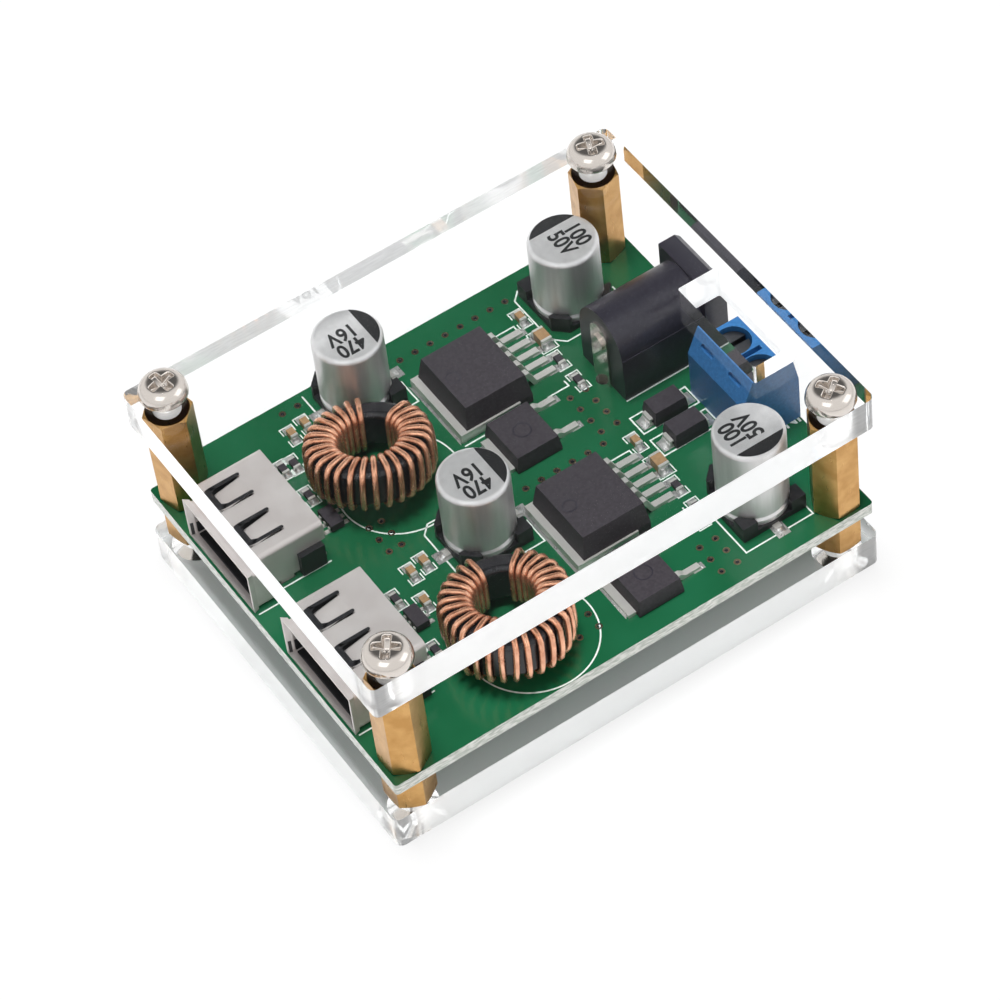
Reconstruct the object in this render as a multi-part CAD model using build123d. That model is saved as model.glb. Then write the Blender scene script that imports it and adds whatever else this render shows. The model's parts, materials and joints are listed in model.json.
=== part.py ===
from build123d import *
import math
import os

# Buck converter module: a green circuit board held between two clear acrylic plates.
# Millimetres. X runs along the board from the two USB sockets (-X) to the supply inlets (+X).
# Y runs across the board. Z is up from the underside of the bottom plate.

# Plates and board. The board is as large as the rows of parts on it need.
PLATE_OVERHANG = 0.7
PLATE_SIDE_SETBACK = 0.1
PLATE_THICKNESS = 4.7
PLATE_CORNER = 0.8
BOARD_THICKNESS = 1.6
BOARD_CORNER = 0.4
HOLE_INSET_X = 3.05
HOLE_INSET_Y = 2.85

# Gaps along the board, from the USB sockets to the supply inlets
USB_TO_COIL = 2.6
COIL_TO_TAB = 3.05
CAPACITOR_TO_TAB = (1.35, 1.25)
DIODE_SETBACK = 1.6
LEADS_TO_COLUMN = 1.1
COLUMN_TO_JACK = 2.3
COLUMN_TO_INLET_DIODE = 2.6
COLUMN_TO_CAPACITOR = (1.85, 2.1)
CAPACITOR_TO_HOLE = 3.25
INLET_DIODE_TO_TERMINAL = 1.2

# Gaps across the board, from its +Y edge to its -Y edge
EDGE_TO_CAPACITOR = 0.15
CAPACITOR_TO_COIL = (0.05, 1.5)
COIL_TO_CAPACITOR = 2.34
COIL_TO_EDGE = 0.9
TAB_TO_DIODE = (0.75, 0.9)
INPUT_CAPACITOR_INSETS = (3.15, 4.0)

# Screws, standoffs and spacers. The turns are how far each hexagon was tightened, in degrees.
SCREW_DIAMETER = 3.0
SCREW_CLEARANCE = 0.1
HEADROOM = 1.6
SPACER_LENGTH = 4.5
HEX_ACROSS_FLATS = 5.0
HEX_CHAMFER = 0.4
TOP_SCREW_GRIP = 5.0
THREAD_RUNOUT = 1.0
STUD_GAP = 0.4
PAN_HEAD_DIAMETER = 5.6
PAN_HEAD_HEIGHT = 2.0
PAN_HEAD_ROUNDING = 1.0
FLAT_HEAD_DIAMETER = 5.5
RECESS_WIDTH = 3.2
RECESS_SLOT = 0.75
RECESS_DEPTH = 1.3
HEX_TURNS_DEG = {(-1, -1): 32, (1, -1): 2, (1, 1): 18, (-1, 1): 45}

# Window in the top plate over the terminal block
WINDOW_SETBACK = 1.6
WINDOW_LENGTH = 5.35
WINDOW_MARGIN = 1.95
WINDOW_CORNER = 0.3

# Plated holes. Each field starts at a distance from one part and runs along +X and -Y.
VIA_DIAMETER = 0.45
VIA_PITCH = 2.03
VIA_FIELDS = (
    {"beside": "regulator_1", "start": (0.2, 9.25), "pitch": 2.03, "columns": 8, "rows": 1},
    {"beside": "regulator_1", "start": (12.2, -7.1), "pitch": 2.1, "columns": 2, "rows": 4},
    {"beside": "regulator_2", "start": (1.1, 8.05), "pitch": 2.06, "columns": 6, "rows": 1},
    {"beside": "regulator_2", "start": (12.2, -8.9), "pitch": 2.1, "columns": 2, "rows": 3},
    {"beside": "output_capacitor_1", "start": (-8.1, 2.8), "pitch": 2.0, "columns": 2, "rows": 1},
    {"beside": "coil_1", "start": (-4.3, -5.64), "pitch": 1.6, "columns": 2, "rows": 3},
    {"beside": "coil_2", "start": (6.3, -3.85), "pitch": 2.5, "columns": 2, "rows": 1},
    {"beside": "coil_2", "start": (8.8, -1.8), "pitch": 2.5, "columns": 1, "rows": 1})
LEAD_CLEARANCE = 0.1
LEAD_BELOW_BOARD = 1.2

# USB-A sockets
USB_CENTRES = (10.1, -10.2)
USB_SETBACK = 0.3
USB_LENGTH = 9.9
USB_WIDTH = 13.1
USB_HEIGHT = 5.9
USB_SHEET = 0.3
USB_FLARE = 0.3
USB_FLARE_LENGTH = 0.7
USB_SPRING_PITCH = 6.1
USB_SPRING_WIDTH = 2.6
USB_SPRING_LENGTH = 3.9
USB_SPRING_SETBACK = 2.1
USB_SPRING_DROP = 0.7
USB_SPRING_TIP_LENGTH = 0.5
USB_SPRING_TIP_LIFT = 0.3
USB_SLOT = 0.45
USB_TONGUE_WIDTH = 11.1
USB_TONGUE_THICKNESS = 1.8
USB_TONGUE_GAP = 0.9
USB_TONGUE_SETBACK = 1.0
USB_BLOCK_DEPTH = 2.6
USB_EAR_WIDTH = 0.75
USB_EAR_LENGTH = 3.6
USB_EAR_HEIGHT = 3.2
USB_CONTACT_OFFSETS = (-3.5, -1.0, 1.0, 3.5)
USB_CONTACT_WIDTH = 0.9
USB_CONTACT_SHEET = 0.25
USB_CONTACT_SETBACK = 2.0
USB_LEG_WIDTH = 1.6
USB_LEG_ROOT = 1.0

# Toroidal coils. The winding leaves a gap on one side, centred at an angle from +X.
COIL_GAP_DEG = 38
WIRE_DIAMETER = 0.7
WIRE_SLACK = 0.05
TURN_GAP = 0.03
CORE_OUTER = 13.1
CORE_INNER = 7.9
CORE_HEIGHT = 4.5
CORE_ROUNDING = 0.7
COILS = (
    {"number": 1, "tilt_deg": (-10.8, 4.4), "gap_deg": 45},
    {"number": 2, "tilt_deg": (-9.0, 2.0), "gap_deg": 69})
COIL_LIFT = 0.05

# Electrolytic capacitors. The mark is the direction of the negative lead, in degrees from +X.
CAN_DIAMETER = 8.1
CAN_HEIGHT = 10.2
CAN_CRIMP_HEIGHT = 1.9
CAN_CRIMP_DEPTH = 0.25
CAN_TOP_ROUNDING = 0.6
CAN_BASE_MARGIN = 0.1
CAN_BASE_FLOOR = 0.8
CAN_BASE_POST = 2.2
CAN_BASE_POST_WIDTH = 1.9
CAN_BASE_CHAMFER = 1.5
CAN_FIT = 0.1
CAN_LEAD_WIDTH = 0.9
CAN_LEAD_SHEET = 0.3
CAN_LEAD_OVERHANG = 0.7
CAN_LEAD_GAP = 2.0
CAPACITOR_MARKS_DEG = {
    "output_capacitor_1": 0, "output_capacitor_2": 0, "input_capacitor_1": 90, "input_capacitor_2": -90}

# Moulded power parts, with a metal tab towards -X and leads towards +X
POWER_STANDOFF = 0.1
POWER_DRAFT_DEG = 8
POWER_TAB_COVER = 0.8
REGULATOR = {
    "coil_offsets": (3.211, 7.15), "size": (8.75, 9.9, 4.45), "tab_width": 10.4,
    "tab_thickness": 1.27, "tab_overhang": 0.9, "leads": 5, "pitch": 1.7, "lead_width": 0.8,
    "lead_sheet": 0.45, "lead_reach": 4.45, "lead_foot": 2.6, "lead_exit": 2.3}
DIODE = {
    "size": (5.85, 6.7, 2.3), "tab_width": 5.4,
    "tab_thickness": 0.5, "tab_overhang": 1.0, "leads": 2, "pitch": 4.6, "lead_width": 0.75,
    "lead_sheet": 0.5, "lead_reach": 3.15, "lead_foot": 1.9, "lead_exit": 1.0}

# Small two-lead diodes behind the supply inlets
INLET_DIODE_OFFSETS = (4.6, 0.7)
INLET_DIODE_SIZE = (4.3, 2.6, 2.1)
INLET_DIODE_SPAN = 5.2
INLET_LEAD_WIDTH = 1.5
INLET_LEAD_SHEET = 0.25
INLET_LEAD_FOOT = 1.4

# Round DC inlet
JACK_Y = 5.9
JACK_OVERHANG = 0.15
JACK_LENGTH = 14.0
JACK_FLANGE_DEPTH = 2.9
JACK_FLANGE_WIDTH = 8.7
JACK_FLANGE_HEIGHT = 10.8
JACK_FLANGE_CHAMFER = 0.7
JACK_BODY_WIDTH = 8.4
JACK_BARREL_DIAMETER = 8.2
JACK_AXIS_HEIGHT = 6.4
JACK_BORE = 6.4
JACK_BORE_DEPTH = 9.5
JACK_PIN_DIAMETER = 2.1
JACK_PIN_SETBACK = 1.0
JACK_PIN_ROUNDING = 0.5
JACK_PLATE_WIDTH = 3.1
JACK_PLATE_HEIGHT = 9.0
JACK_LEG_WIDTH = 1.5
JACK_SHEET = 0.3
JACK_SPRING_WIDTH = 2.2

# Two-pole screw terminal block
TERMINAL_Y = -6.8
TERMINAL_OVERHANG = 0.05
TERMINAL_DEPTH = 7.5
TERMINAL_PITCH = 5.08
TERMINAL_END_WALL = 0.05
TERMINAL_HEIGHT = 10.0
TERMINAL_FRONT_WALL = 6.4
TERMINAL_FRONT_SLOPE = 0.7
TERMINAL_REAR_WALL = 6.6
TERMINAL_REAR_SLOPE = 1.5
TERMINAL_WELL = 4.2
TERMINAL_WELL_SETBACK = 3.2
TERMINAL_SCREW = 2.5
TERMINAL_SCREW_FIT = 0.1
TERMINAL_HEAD = 3.8
TERMINAL_HEAD_HEIGHT = 1.6
TERMINAL_HEAD_RECESS = 0.6
TERMINAL_HEAD_SLOT = 0.65
TERMINAL_SHOULDER = 0.6
TERMINAL_FIT = 0.15
TERMINAL_ENTRY_WIDTH = 3.4
TERMINAL_GROOVE_LENGTH = 2.8
TERMINAL_GROOVE_OFFSET = 0.5
TERMINAL_GROOVE_DEPTH = 1.0
DIMPLE_LENGTH = 2.3
DIMPLE_WIDTH = 0.75
DIMPLE_DEPTH = 0.4
DIMPLE_RISE = 2.0
CLAMP_WIDTH = 4.3
CLAMP_DEPTH = 4.4
CLAMP_FLOOR_LEVEL = 1.0
CLAMP_TRAVEL = 1.5
CLAMP_WALL = 0.6
CLAMP_TOP_WALL = 1.0
TERMINAL_PIN_SHEET = 0.5
TERMINAL_LEG_WIDTH = 1.0

# Chip parts that lie along Y: width, length and height of a kind. Each one's centre is given from the
# part it belongs to. A column of chips stands beyond each regulator's leads.
SMALL_CHIP = (0.85, 1.6, 0.8)
LARGE_CHIP = (1.35, 2.1, 1.2)
RESISTOR = (0.85, 1.6, 0.5)
CHIP_END = 0.3
SMALL_CAPACITORS = (
    ("column_1", 0, 5.95), ("column_2", 0, 5.95), ("output_capacitor_1", -6.9, -0.1),
    ("output_capacitor_1", -8.9, -0.5), ("output_capacitor_2", -7.1, 0.45),
    ("output_capacitor_2", -9.0, 0.05), ("output_capacitor_2", -10.0, -4.15))
LARGE_CAPACITORS = (("column_1", 0.2, 1.75), ("column_2", 0.2, 1.75))
RESISTORS = (
    ("column_1", 0, -1.8), ("column_1", 0.05, -5.6), ("column_2", 0, -1.8), ("column_2", 0.05, -5.6),
    ("usb_socket_1", 2.75, 1.8), ("usb_socket_1", 2.45, 6.7), ("usb_socket_1", 3.85, 6.6),
    ("usb_socket_2", 2.55, 4.2), ("usb_socket_2", 0.85, -4.0), ("usb_socket_2", 2.25, -4.1))
CHARGE_CHIPS = (("usb_socket_1", 2.85, -2.7), ("usb_socket_2", 2.85, 0.5))
CHARGE_CHIP_SIZE = (1.6, 2.9, 1.1)
CHARGE_LEADS = 3
CHARGE_LEAD_PITCH = 0.95
CHARGE_LEAD_REACH = 0.6
CHARGE_LEAD_WIDTH = 0.4
CHARGE_LEAD_SHEET = 0.15

# Size of the board and the plates
COIL_WIDTH = CORE_OUTER + 2 * (WIRE_SLACK + WIRE_DIAMETER)
CAN_BASE_WIDTH = CAN_DIAMETER + 2 * CAN_BASE_MARGIN
COIL_START = USB_SETBACK + USB_LENGTH + USB_TO_COIL
TAB_START = COIL_START + COIL_WIDTH + COIL_TO_TAB
REGULATOR_START = TAB_START + REGULATOR["tab_overhang"]
COLUMN_START = REGULATOR_START + REGULATOR["size"][0] + REGULATOR["lead_reach"] + LEADS_TO_COLUMN
JACK_ROW = COLUMN_TO_JACK + JACK_SHEET + JACK_LENGTH - JACK_OVERHANG
TERMINAL_ROW = COLUMN_TO_INLET_DIODE + INLET_DIODE_SPAN + INLET_DIODE_TO_TERMINAL + TERMINAL_DEPTH
CAPACITOR_ROW = COLUMN_TO_CAPACITOR[0] + CAN_BASE_WIDTH + CAPACITOR_TO_HOLE + HOLE_INSET_X
BOARD_LENGTH = COLUMN_START + max(JACK_ROW, TERMINAL_ROW - TERMINAL_OVERHANG, CAPACITOR_ROW)
LEFT = -BOARD_LENGTH / 2
RIGHT = BOARD_LENGTH / 2

# The first coil reaches past the chamfered corner of the capacitor beside it
CORNER_START = TAB_START - CAPACITOR_TO_TAB[0] - CAN_BASE_WIDTH + CAN_BASE_CHAMFER
COIL_REACH = math.sqrt((COIL_WIDTH / 2) ** 2 - (CORNER_START - COIL_START - COIL_WIDTH / 2) ** 2)
OUTPUT_ROW = [
    EDGE_TO_CAPACITOR, CAN_BASE_WIDTH, CAPACITOR_TO_COIL[0], COIL_REACH + COIL_WIDTH / 2, COIL_TO_CAPACITOR,
    CAN_BASE_WIDTH, CAPACITOR_TO_COIL[1], COIL_WIDTH, COIL_TO_EDGE]
BOARD_WIDTH = sum(OUTPUT_ROW)
TOP = BOARD_WIDTH / 2
PLATE_LENGTH = BOARD_LENGTH + 2 * PLATE_OVERHANG
PLATE_WIDTH = BOARD_WIDTH - 2 * PLATE_SIDE_SETBACK
HOLE_PITCH_X = BOARD_LENGTH - 2 * HOLE_INSET_X
HOLE_PITCH_Y = BOARD_WIDTH - 2 * HOLE_INSET_Y

# Places of the parts on the board
COIL_X = LEFT + COIL_START + COIL_WIDTH / 2
COLUMN_X = LEFT + COLUMN_START
REGULATOR_X = LEFT + REGULATOR_START
CAPACITOR_Y = [TOP - sum(OUTPUT_ROW[:first]) - CAN_BASE_WIDTH / 2 for first in (1, 5)]
COIL_Y = [TOP - sum(OUTPUT_ROW[:3]) - COIL_REACH, TOP - sum(OUTPUT_ROW[:7]) - COIL_WIDTH / 2]
REGULATOR_Y = [y + offset for y, offset in zip(COIL_Y, REGULATOR["coil_offsets"])]
DIODE_Y = [
    y - REGULATOR["tab_width"] / 2 - gap - DIODE["size"][1] / 2 for y, gap in zip(REGULATOR_Y, TAB_TO_DIODE)]
CAN_INSETS = [inset + CAN_BASE_WIDTH / 2 for inset in INPUT_CAPACITOR_INSETS]
INPUT_CAPACITOR_Y = [TOP - CAN_INSETS[0], CAN_INSETS[1] - TOP]
PLACES = {}
for i in range(2):
    PLACES[f"usb_socket_{i + 1}"] = (LEFT + USB_SETBACK + USB_LENGTH, USB_CENTRES[i])
    PLACES[f"coil_{i + 1}"] = (COIL_X, COIL_Y[i])
    PLACES[f"output_capacitor_{i + 1}"] = (
        LEFT + TAB_START - CAPACITOR_TO_TAB[i] - CAN_BASE_WIDTH / 2, CAPACITOR_Y[i])
    PLACES[f"input_capacitor_{i + 1}"] = (
        COLUMN_X + COLUMN_TO_CAPACITOR[i] + CAN_BASE_WIDTH / 2, INPUT_CAPACITOR_Y[i])
    PLACES[f"regulator_{i + 1}"] = (REGULATOR_X, REGULATOR_Y[i])
    PLACES[f"output_diode_{i + 1}"] = (REGULATOR_X + DIODE_SETBACK, DIODE_Y[i])
    PLACES[f"column_{i + 1}"] = (COLUMN_X, REGULATOR_Y[i])

# Levels and places worked out from the sizes
STANDOFF_LENGTH = max(JACK_FLANGE_HEIGHT, CAN_HEIGHT, TERMINAL_HEIGHT) + HEADROOM
PLATE_TOP = PLATE_THICKNESS
BOARD_BOTTOM = PLATE_TOP + SPACER_LENGTH
BOARD_TOP = BOARD_BOTTOM + BOARD_THICKNESS
COVER_BOTTOM = BOARD_TOP + STANDOFF_LENGTH
COVER_TOP = COVER_BOTTOM + PLATE_THICKNESS
LEAD_TIP = BOARD_BOTTOM - LEAD_BELOW_BOARD
HOLE_DIAMETER = SCREW_DIAMETER + 2 * SCREW_CLEARANCE
SPACER_GRIP = (SPACER_LENGTH - STUD_GAP) / 2
CORNERS = [(sx, sy) for sx in (-1, 1) for sy in (-1, 1)]

USB_FRONT_X = LEFT + USB_SETBACK
USB_REAR_X = USB_FRONT_X + USB_LENGTH
USB_TOP = BOARD_TOP + USB_HEIGHT
USB_EAR_X = USB_REAR_X - USB_EAR_LENGTH
USB_CONTACT_X = USB_REAR_X - USB_SHEET
USB_LEG_X = USB_EAR_X - USB_LEG_WIDTH
USB_TONGUE_BOTTOM = USB_TOP - USB_SHEET - USB_TONGUE_GAP - USB_TONGUE_THICKNESS

JACK_FRONT_X = RIGHT + JACK_OVERHANG
JACK_REAR_X = JACK_FRONT_X - JACK_LENGTH
JACK_SHOULDER_X = JACK_FRONT_X - JACK_FLANGE_DEPTH
JACK_FLOOR_X = JACK_FRONT_X - JACK_BORE_DEPTH
JACK_AXIS_Z = BOARD_TOP + JACK_AXIS_HEIGHT

TERMINAL_FRONT_X = RIGHT + TERMINAL_OVERHANG
TERMINAL_REAR_X = TERMINAL_FRONT_X - TERMINAL_DEPTH
TERMINAL_WELL_X = TERMINAL_FRONT_X - TERMINAL_WELL_SETBACK
TERMINAL_TOP = BOARD_TOP + TERMINAL_HEIGHT
TERMINAL_SEAT = TERMINAL_TOP - TERMINAL_HEAD_RECESS - TERMINAL_HEAD_HEIGHT
TERMINAL_POLES = [TERMINAL_Y + side * TERMINAL_PITCH / 2 for side in (1, -1)]
CLAMP_X = (TERMINAL_WELL_X - CLAMP_DEPTH / 2, TERMINAL_WELL_X + CLAMP_DEPTH / 2)
CLAMP_BOTTOM = BOARD_TOP + CLAMP_FLOOR_LEVEL
CLAMP_TOP = TERMINAL_SEAT - TERMINAL_SHOULDER - CLAMP_TRAVEL
CLAMP_ROOF = CLAMP_TOP - CLAMP_TOP_WALL
TERMINAL_PIN_X = CLAMP_X[0] - TERMINAL_FIT - TERMINAL_PIN_SHEET
INLET_DIODE_X = TERMINAL_REAR_X - INLET_DIODE_TO_TERMINAL - INLET_DIODE_SPAN / 2


def block(x, y, z):
    """A box between two values along each axis."""
    size = (x[1] - x[0], y[1] - y[0], z[1] - z[0])
    return Pos((x[0] + x[1]) / 2, (y[0] + y[1]) / 2, (z[0] + z[1]) / 2) * Box(*size)


def centred(middle, size):
    """The two ends of a length about its middle."""
    return (middle - size / 2, middle + size / 2)


def rod(x, y, diameter, low, high):
    """An upright cylinder between two levels."""
    return Pos(x, y, (low + high) / 2) * Cylinder(diameter / 2, high - low)


def rod_x(y, z, diameter, near, far):
    """A cylinder along X between two values."""
    return Pos((near + far) / 2, y, z) * Rot(0, 90, 0) * Cylinder(diameter / 2, far - near)


def turned(*profile):
    """A solid turned about Z from points (radius, height)."""
    return revolve(Plane.XZ * Polygon(*profile, align=None), Axis.Z)


def side_profile(y, *points):
    """A solid of a profile in X and Z, stretched between two values of Y."""
    face = Plane.XZ * Polygon(*points, align=None)
    return Pos(0, y[1], 0) * extrude(face, amount=y[1] - y[0])


def group(pieces):
    """Several separate solids kept as one node."""
    return Compound([solid for piece in pieces for solid in piece.solids()])


def rounded_sheet(length, width, corner, low, high):
    sheet = block(centred(0, length), centred(0, width), (low, high))
    return fillet(sheet.edges().filter_by(Axis.Z), corner)


def board_hole(x, y, width):
    """A round hole in the board for a lead or leg of that width."""
    return rod(x, y, width + 2 * LEAD_CLEARANCE, BOARD_BOTTOM, BOARD_TOP)


def corner_holes(low, high):
    places = [(sx * HOLE_PITCH_X / 2, sy * HOLE_PITCH_Y / 2) for sx, sy in CORNERS]
    return [rod(x, y, HOLE_DIAMETER, low, high) for x, y in places]


def beside(name, dx, dy):
    """A place at a distance from a part."""
    x, y = PLACES[name]
    return x + dx, y + dy


# Plates and fasteners


def bottom_plate():
    plate = rounded_sheet(PLATE_LENGTH, PLATE_WIDTH, PLATE_CORNER, 0, PLATE_TOP)
    flare = FLAT_HEAD_DIAMETER / 2 + SCREW_CLEARANCE
    neck = HOLE_DIAMETER / 2
    sink = turned((0, 0), (flare, 0), (neck, flare - neck), (0, flare - neck))
    sinks = [Pos(sx * HOLE_PITCH_X / 2, sy * HOLE_PITCH_Y / 2, 0) * sink for sx, sy in CORNERS]
    return plate - corner_holes(0, PLATE_TOP) - sinks


def top_plate():
    plate = rounded_sheet(PLATE_LENGTH, PLATE_WIDTH, PLATE_CORNER, COVER_BOTTOM, COVER_TOP)
    edge = TERMINAL_FRONT_X - WINDOW_SETBACK
    width = 2 * (TERMINAL_PITCH + TERMINAL_END_WALL + WINDOW_MARGIN)
    window = block((edge - WINDOW_LENGTH, edge), centred(TERMINAL_Y, width), (COVER_BOTTOM, COVER_TOP))
    window = fillet(window.edges().filter_by(Axis.Z), WINDOW_CORNER)
    return plate - corner_holes(COVER_BOTTOM, COVER_TOP) - window


def hex_bar(length):
    """A hexagonal bar standing on Z = 0 with its corners turned off at both ends."""
    corner = HEX_ACROSS_FLATS / math.sqrt(3)
    shoulder = HEX_CHAMFER * math.tan(math.radians(30))
    bar = extrude(RegularPolygon(HEX_ACROSS_FLATS / 2, 6, major_radius=False), amount=length)
    ends = turned(
        (0, 0), (corner - HEX_CHAMFER, 0), (corner, shoulder), (corner, length - shoulder),
        (corner - HEX_CHAMFER, length), (0, length))
    return bar & ends


def upper_standoff():
    """A hexagonal bar with a tapped hole above and a stud below, through the board."""
    bar = hex_bar(STANDOFF_LENGTH)
    bar -= rod(0, 0, HOLE_DIAMETER, STANDOFF_LENGTH - TOP_SCREW_GRIP - THREAD_RUNOUT, STANDOFF_LENGTH)
    return bar + rod(0, 0, SCREW_DIAMETER, -BOARD_THICKNESS - SPACER_GRIP, 0)


def lower_spacer():
    return hex_bar(SPACER_LENGTH) - rod(0, 0, HOLE_DIAMETER, 0, SPACER_LENGTH)


def cross_recess():
    """A cross-shaped driver recess below Z = 0 that narrows as it goes down."""
    along = centred(0, RECESS_WIDTH)
    across = centred(0, RECESS_SLOT)
    arms = block(along, across, (-RECESS_DEPTH, 0)) + block(across, along, (-RECESS_DEPTH, 0))
    cone = turned((0, 0), (RECESS_WIDTH / 2, 0), (RECESS_SLOT / 2, -RECESS_DEPTH), (0, -RECESS_DEPTH))
    return arms & cone


def top_screw():
    head = rod(0, 0, PAN_HEAD_DIAMETER, 0, PAN_HEAD_HEIGHT)
    head = fillet(head.edges().group_by(Axis.Z)[-1], PAN_HEAD_ROUNDING)
    head -= Pos(0, 0, PAN_HEAD_HEIGHT) * cross_recess()
    return head + rod(0, 0, SCREW_DIAMETER, -PLATE_THICKNESS - TOP_SCREW_GRIP, 0)


def bottom_screw():
    flare = FLAT_HEAD_DIAMETER / 2
    shank = SCREW_DIAMETER / 2
    tip = PLATE_THICKNESS + SPACER_GRIP
    screw = turned((0, 0), (flare, 0), (shank, flare - shank), (shank, tip), (0, tip))
    return screw - Rot(180, 0, 0) * cross_recess()


def at_corners(piece, level):
    """One copy at each corner hole, turned as far as it was tightened there."""
    copies = []
    for sx, sy in CORNERS:
        place = Pos(sx * HOLE_PITCH_X / 2, sy * HOLE_PITCH_Y / 2, level)
        copies.append(place * Rot(0, 0, HEX_TURNS_DEG[(sx, sy)]) * piece)
    return group(copies)


# USB-A sockets


def usb_mouth(y, inset):
    """The flared front of the shell, drawn in by a part of the sheet."""
    low = BOARD_TOP + inset
    high = USB_TOP - inset
    width = USB_WIDTH - 2 * inset
    rear = Plane.YZ.offset(USB_FRONT_X + USB_FLARE_LENGTH) * Pos(y, (low + high) / 2)
    front = Plane.YZ.offset(USB_FRONT_X) * Pos(y, (low + high + USB_FLARE) / 2)
    small = rear * Rectangle(width, high - low)
    large = front * Rectangle(width + 2 * USB_FLARE, high + USB_FLARE - low)
    return loft([large, small])


def usb_tube(y, inset):
    """The straight length of the shell, drawn in by a part of the sheet."""
    x = (USB_FRONT_X + USB_FLARE_LENGTH, USB_REAR_X)
    tube = block(x, centred(y, USB_WIDTH - 2 * inset), (BOARD_TOP + inset, USB_TOP - inset))
    return fillet(tube.edges().filter_by(Axis.X), 2 * USB_SHEET - inset)


def usb_spring(y):
    """A sheet tongue that bends down from the shell's top towards the mouth."""
    start = USB_FRONT_X + USB_SPRING_SETBACK
    root = start + USB_SPRING_LENGTH
    knee = start + USB_SPRING_TIP_LENGTH
    low = USB_TOP - USB_SPRING_DROP
    tip = low + USB_SPRING_TIP_LIFT
    return side_profile(
        centred(y, USB_SPRING_WIDTH), (root, USB_TOP), (knee, low), (start, tip), (start, tip - USB_SHEET),
        (knee, low - USB_SHEET), (root, USB_TOP - USB_SHEET))


def usb_leg(wall, side):
    """A leg that continues one side wall of the shell down through the board."""
    across = sorted((wall, wall - side * USB_SHEET))
    return block(centred(USB_LEG_X, USB_LEG_WIDTH), across, (LEAD_TIP, BOARD_TOP + USB_LEG_ROOT))


def usb_shell(y):
    shell = usb_tube(y, 0) + usb_mouth(y, 0) - usb_tube(y, USB_SHEET) - usb_mouth(y, USB_SHEET)
    slot_start = USB_FRONT_X + USB_SPRING_SETBACK - USB_SLOT
    slot_end = USB_FRONT_X + USB_SPRING_SETBACK + USB_SPRING_LENGTH
    slot_width = USB_SPRING_WIDTH + 2 * USB_SLOT
    for side in (-1, 1):
        spring_y = y + side * USB_SPRING_PITCH / 2
        wall = y + side * USB_WIDTH / 2
        shell -= block((slot_start, slot_end), centred(spring_y, slot_width), (USB_TOP - USB_SHEET, USB_TOP))
        shell += usb_spring(spring_y)
        shell -= block(
            (USB_EAR_X, USB_REAR_X), centred(wall, 2 * USB_SHEET), (BOARD_TOP, BOARD_TOP + USB_EAR_HEIGHT))
        shell += usb_leg(wall, side)
    notch = USB_CONTACT_X - USB_CONTACT_SHEET - LEAD_CLEARANCE
    floor = (BOARD_TOP, BOARD_TOP + USB_SHEET)
    return shell - block((notch, USB_REAR_X), centred(y, USB_WIDTH - 4 * USB_SHEET), floor)


def usb_contact(y):
    """A strip under the tongue that turns down behind the block to the board."""
    across = centred(y, USB_CONTACT_WIDTH)
    strip_z = (USB_TONGUE_BOTTOM - USB_CONTACT_SHEET, USB_TONGUE_BOTTOM)
    strip = block((USB_FRONT_X + USB_CONTACT_SETBACK, USB_CONTACT_X), across, strip_z)
    leg_x = (USB_CONTACT_X - USB_CONTACT_SHEET, USB_CONTACT_X)
    return strip + block(leg_x, across, (LEAD_TIP, USB_TONGUE_BOTTOM))


def usb_insulator(y):
    """The tongue with its rear block, and ears that stick out through the shell's sides."""
    rear = USB_CONTACT_X - USB_CONTACT_SHEET
    inner = USB_WIDTH - 2 * USB_SHEET
    core = usb_tube(y, USB_SHEET) & block(
        (rear - USB_BLOCK_DEPTH, rear), centred(y, inner), (BOARD_TOP, USB_TOP))
    tongue = block(
        (USB_FRONT_X + USB_TONGUE_SETBACK, rear), centred(y, USB_TONGUE_WIDTH),
        (USB_TONGUE_BOTTOM, USB_TONGUE_BOTTOM + USB_TONGUE_THICKNESS))
    body = core + tongue
    for side in (-1, 1):
        inside = y + side * inner / 2
        wall = y + side * USB_WIDTH / 2
        outside = wall + side * USB_EAR_WIDTH
        above = (BOARD_TOP + USB_SHEET, BOARD_TOP + USB_EAR_HEIGHT)
        body += block((USB_EAR_X, rear), sorted((inside, outside)), above)
        body += block((USB_EAR_X, rear), sorted((wall, outside)), (BOARD_TOP, above[1]))
    for offset in USB_CONTACT_OFFSETS:
        body -= usb_contact(y + offset)
    return body


# Toroidal coils


def coil_place(coil):
    """Where a coil sits, with its lowest edge just above the board."""
    tilt_x, tilt_y = coil["tilt_deg"]
    lean = math.radians(math.hypot(tilt_x, tilt_y))
    half = CORE_HEIGHT / 2 + WIRE_SLACK + WIRE_DIAMETER
    reach = CORE_OUTER / 2 + WIRE_SLACK + WIRE_DIAMETER / 2 - CORE_ROUNDING
    level = BOARD_TOP + COIL_LIFT + half * math.cos(lean) + reach * math.sin(lean)
    x, y = PLACES[f"coil_{coil['number']}"]
    return Pos(x, y, level) * Rot(0, tilt_y, 0) * Rot(tilt_x, 0, 0)


def coil_core(coil):
    inner = CORE_INNER / 2
    outer = CORE_OUTER / 2
    half = CORE_HEIGHT / 2
    ring = turned((inner, -half), (outer, -half), (outer, half), (inner, half))
    return coil_place(coil) * fillet(ring.edges(), CORE_ROUNDING)


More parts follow.
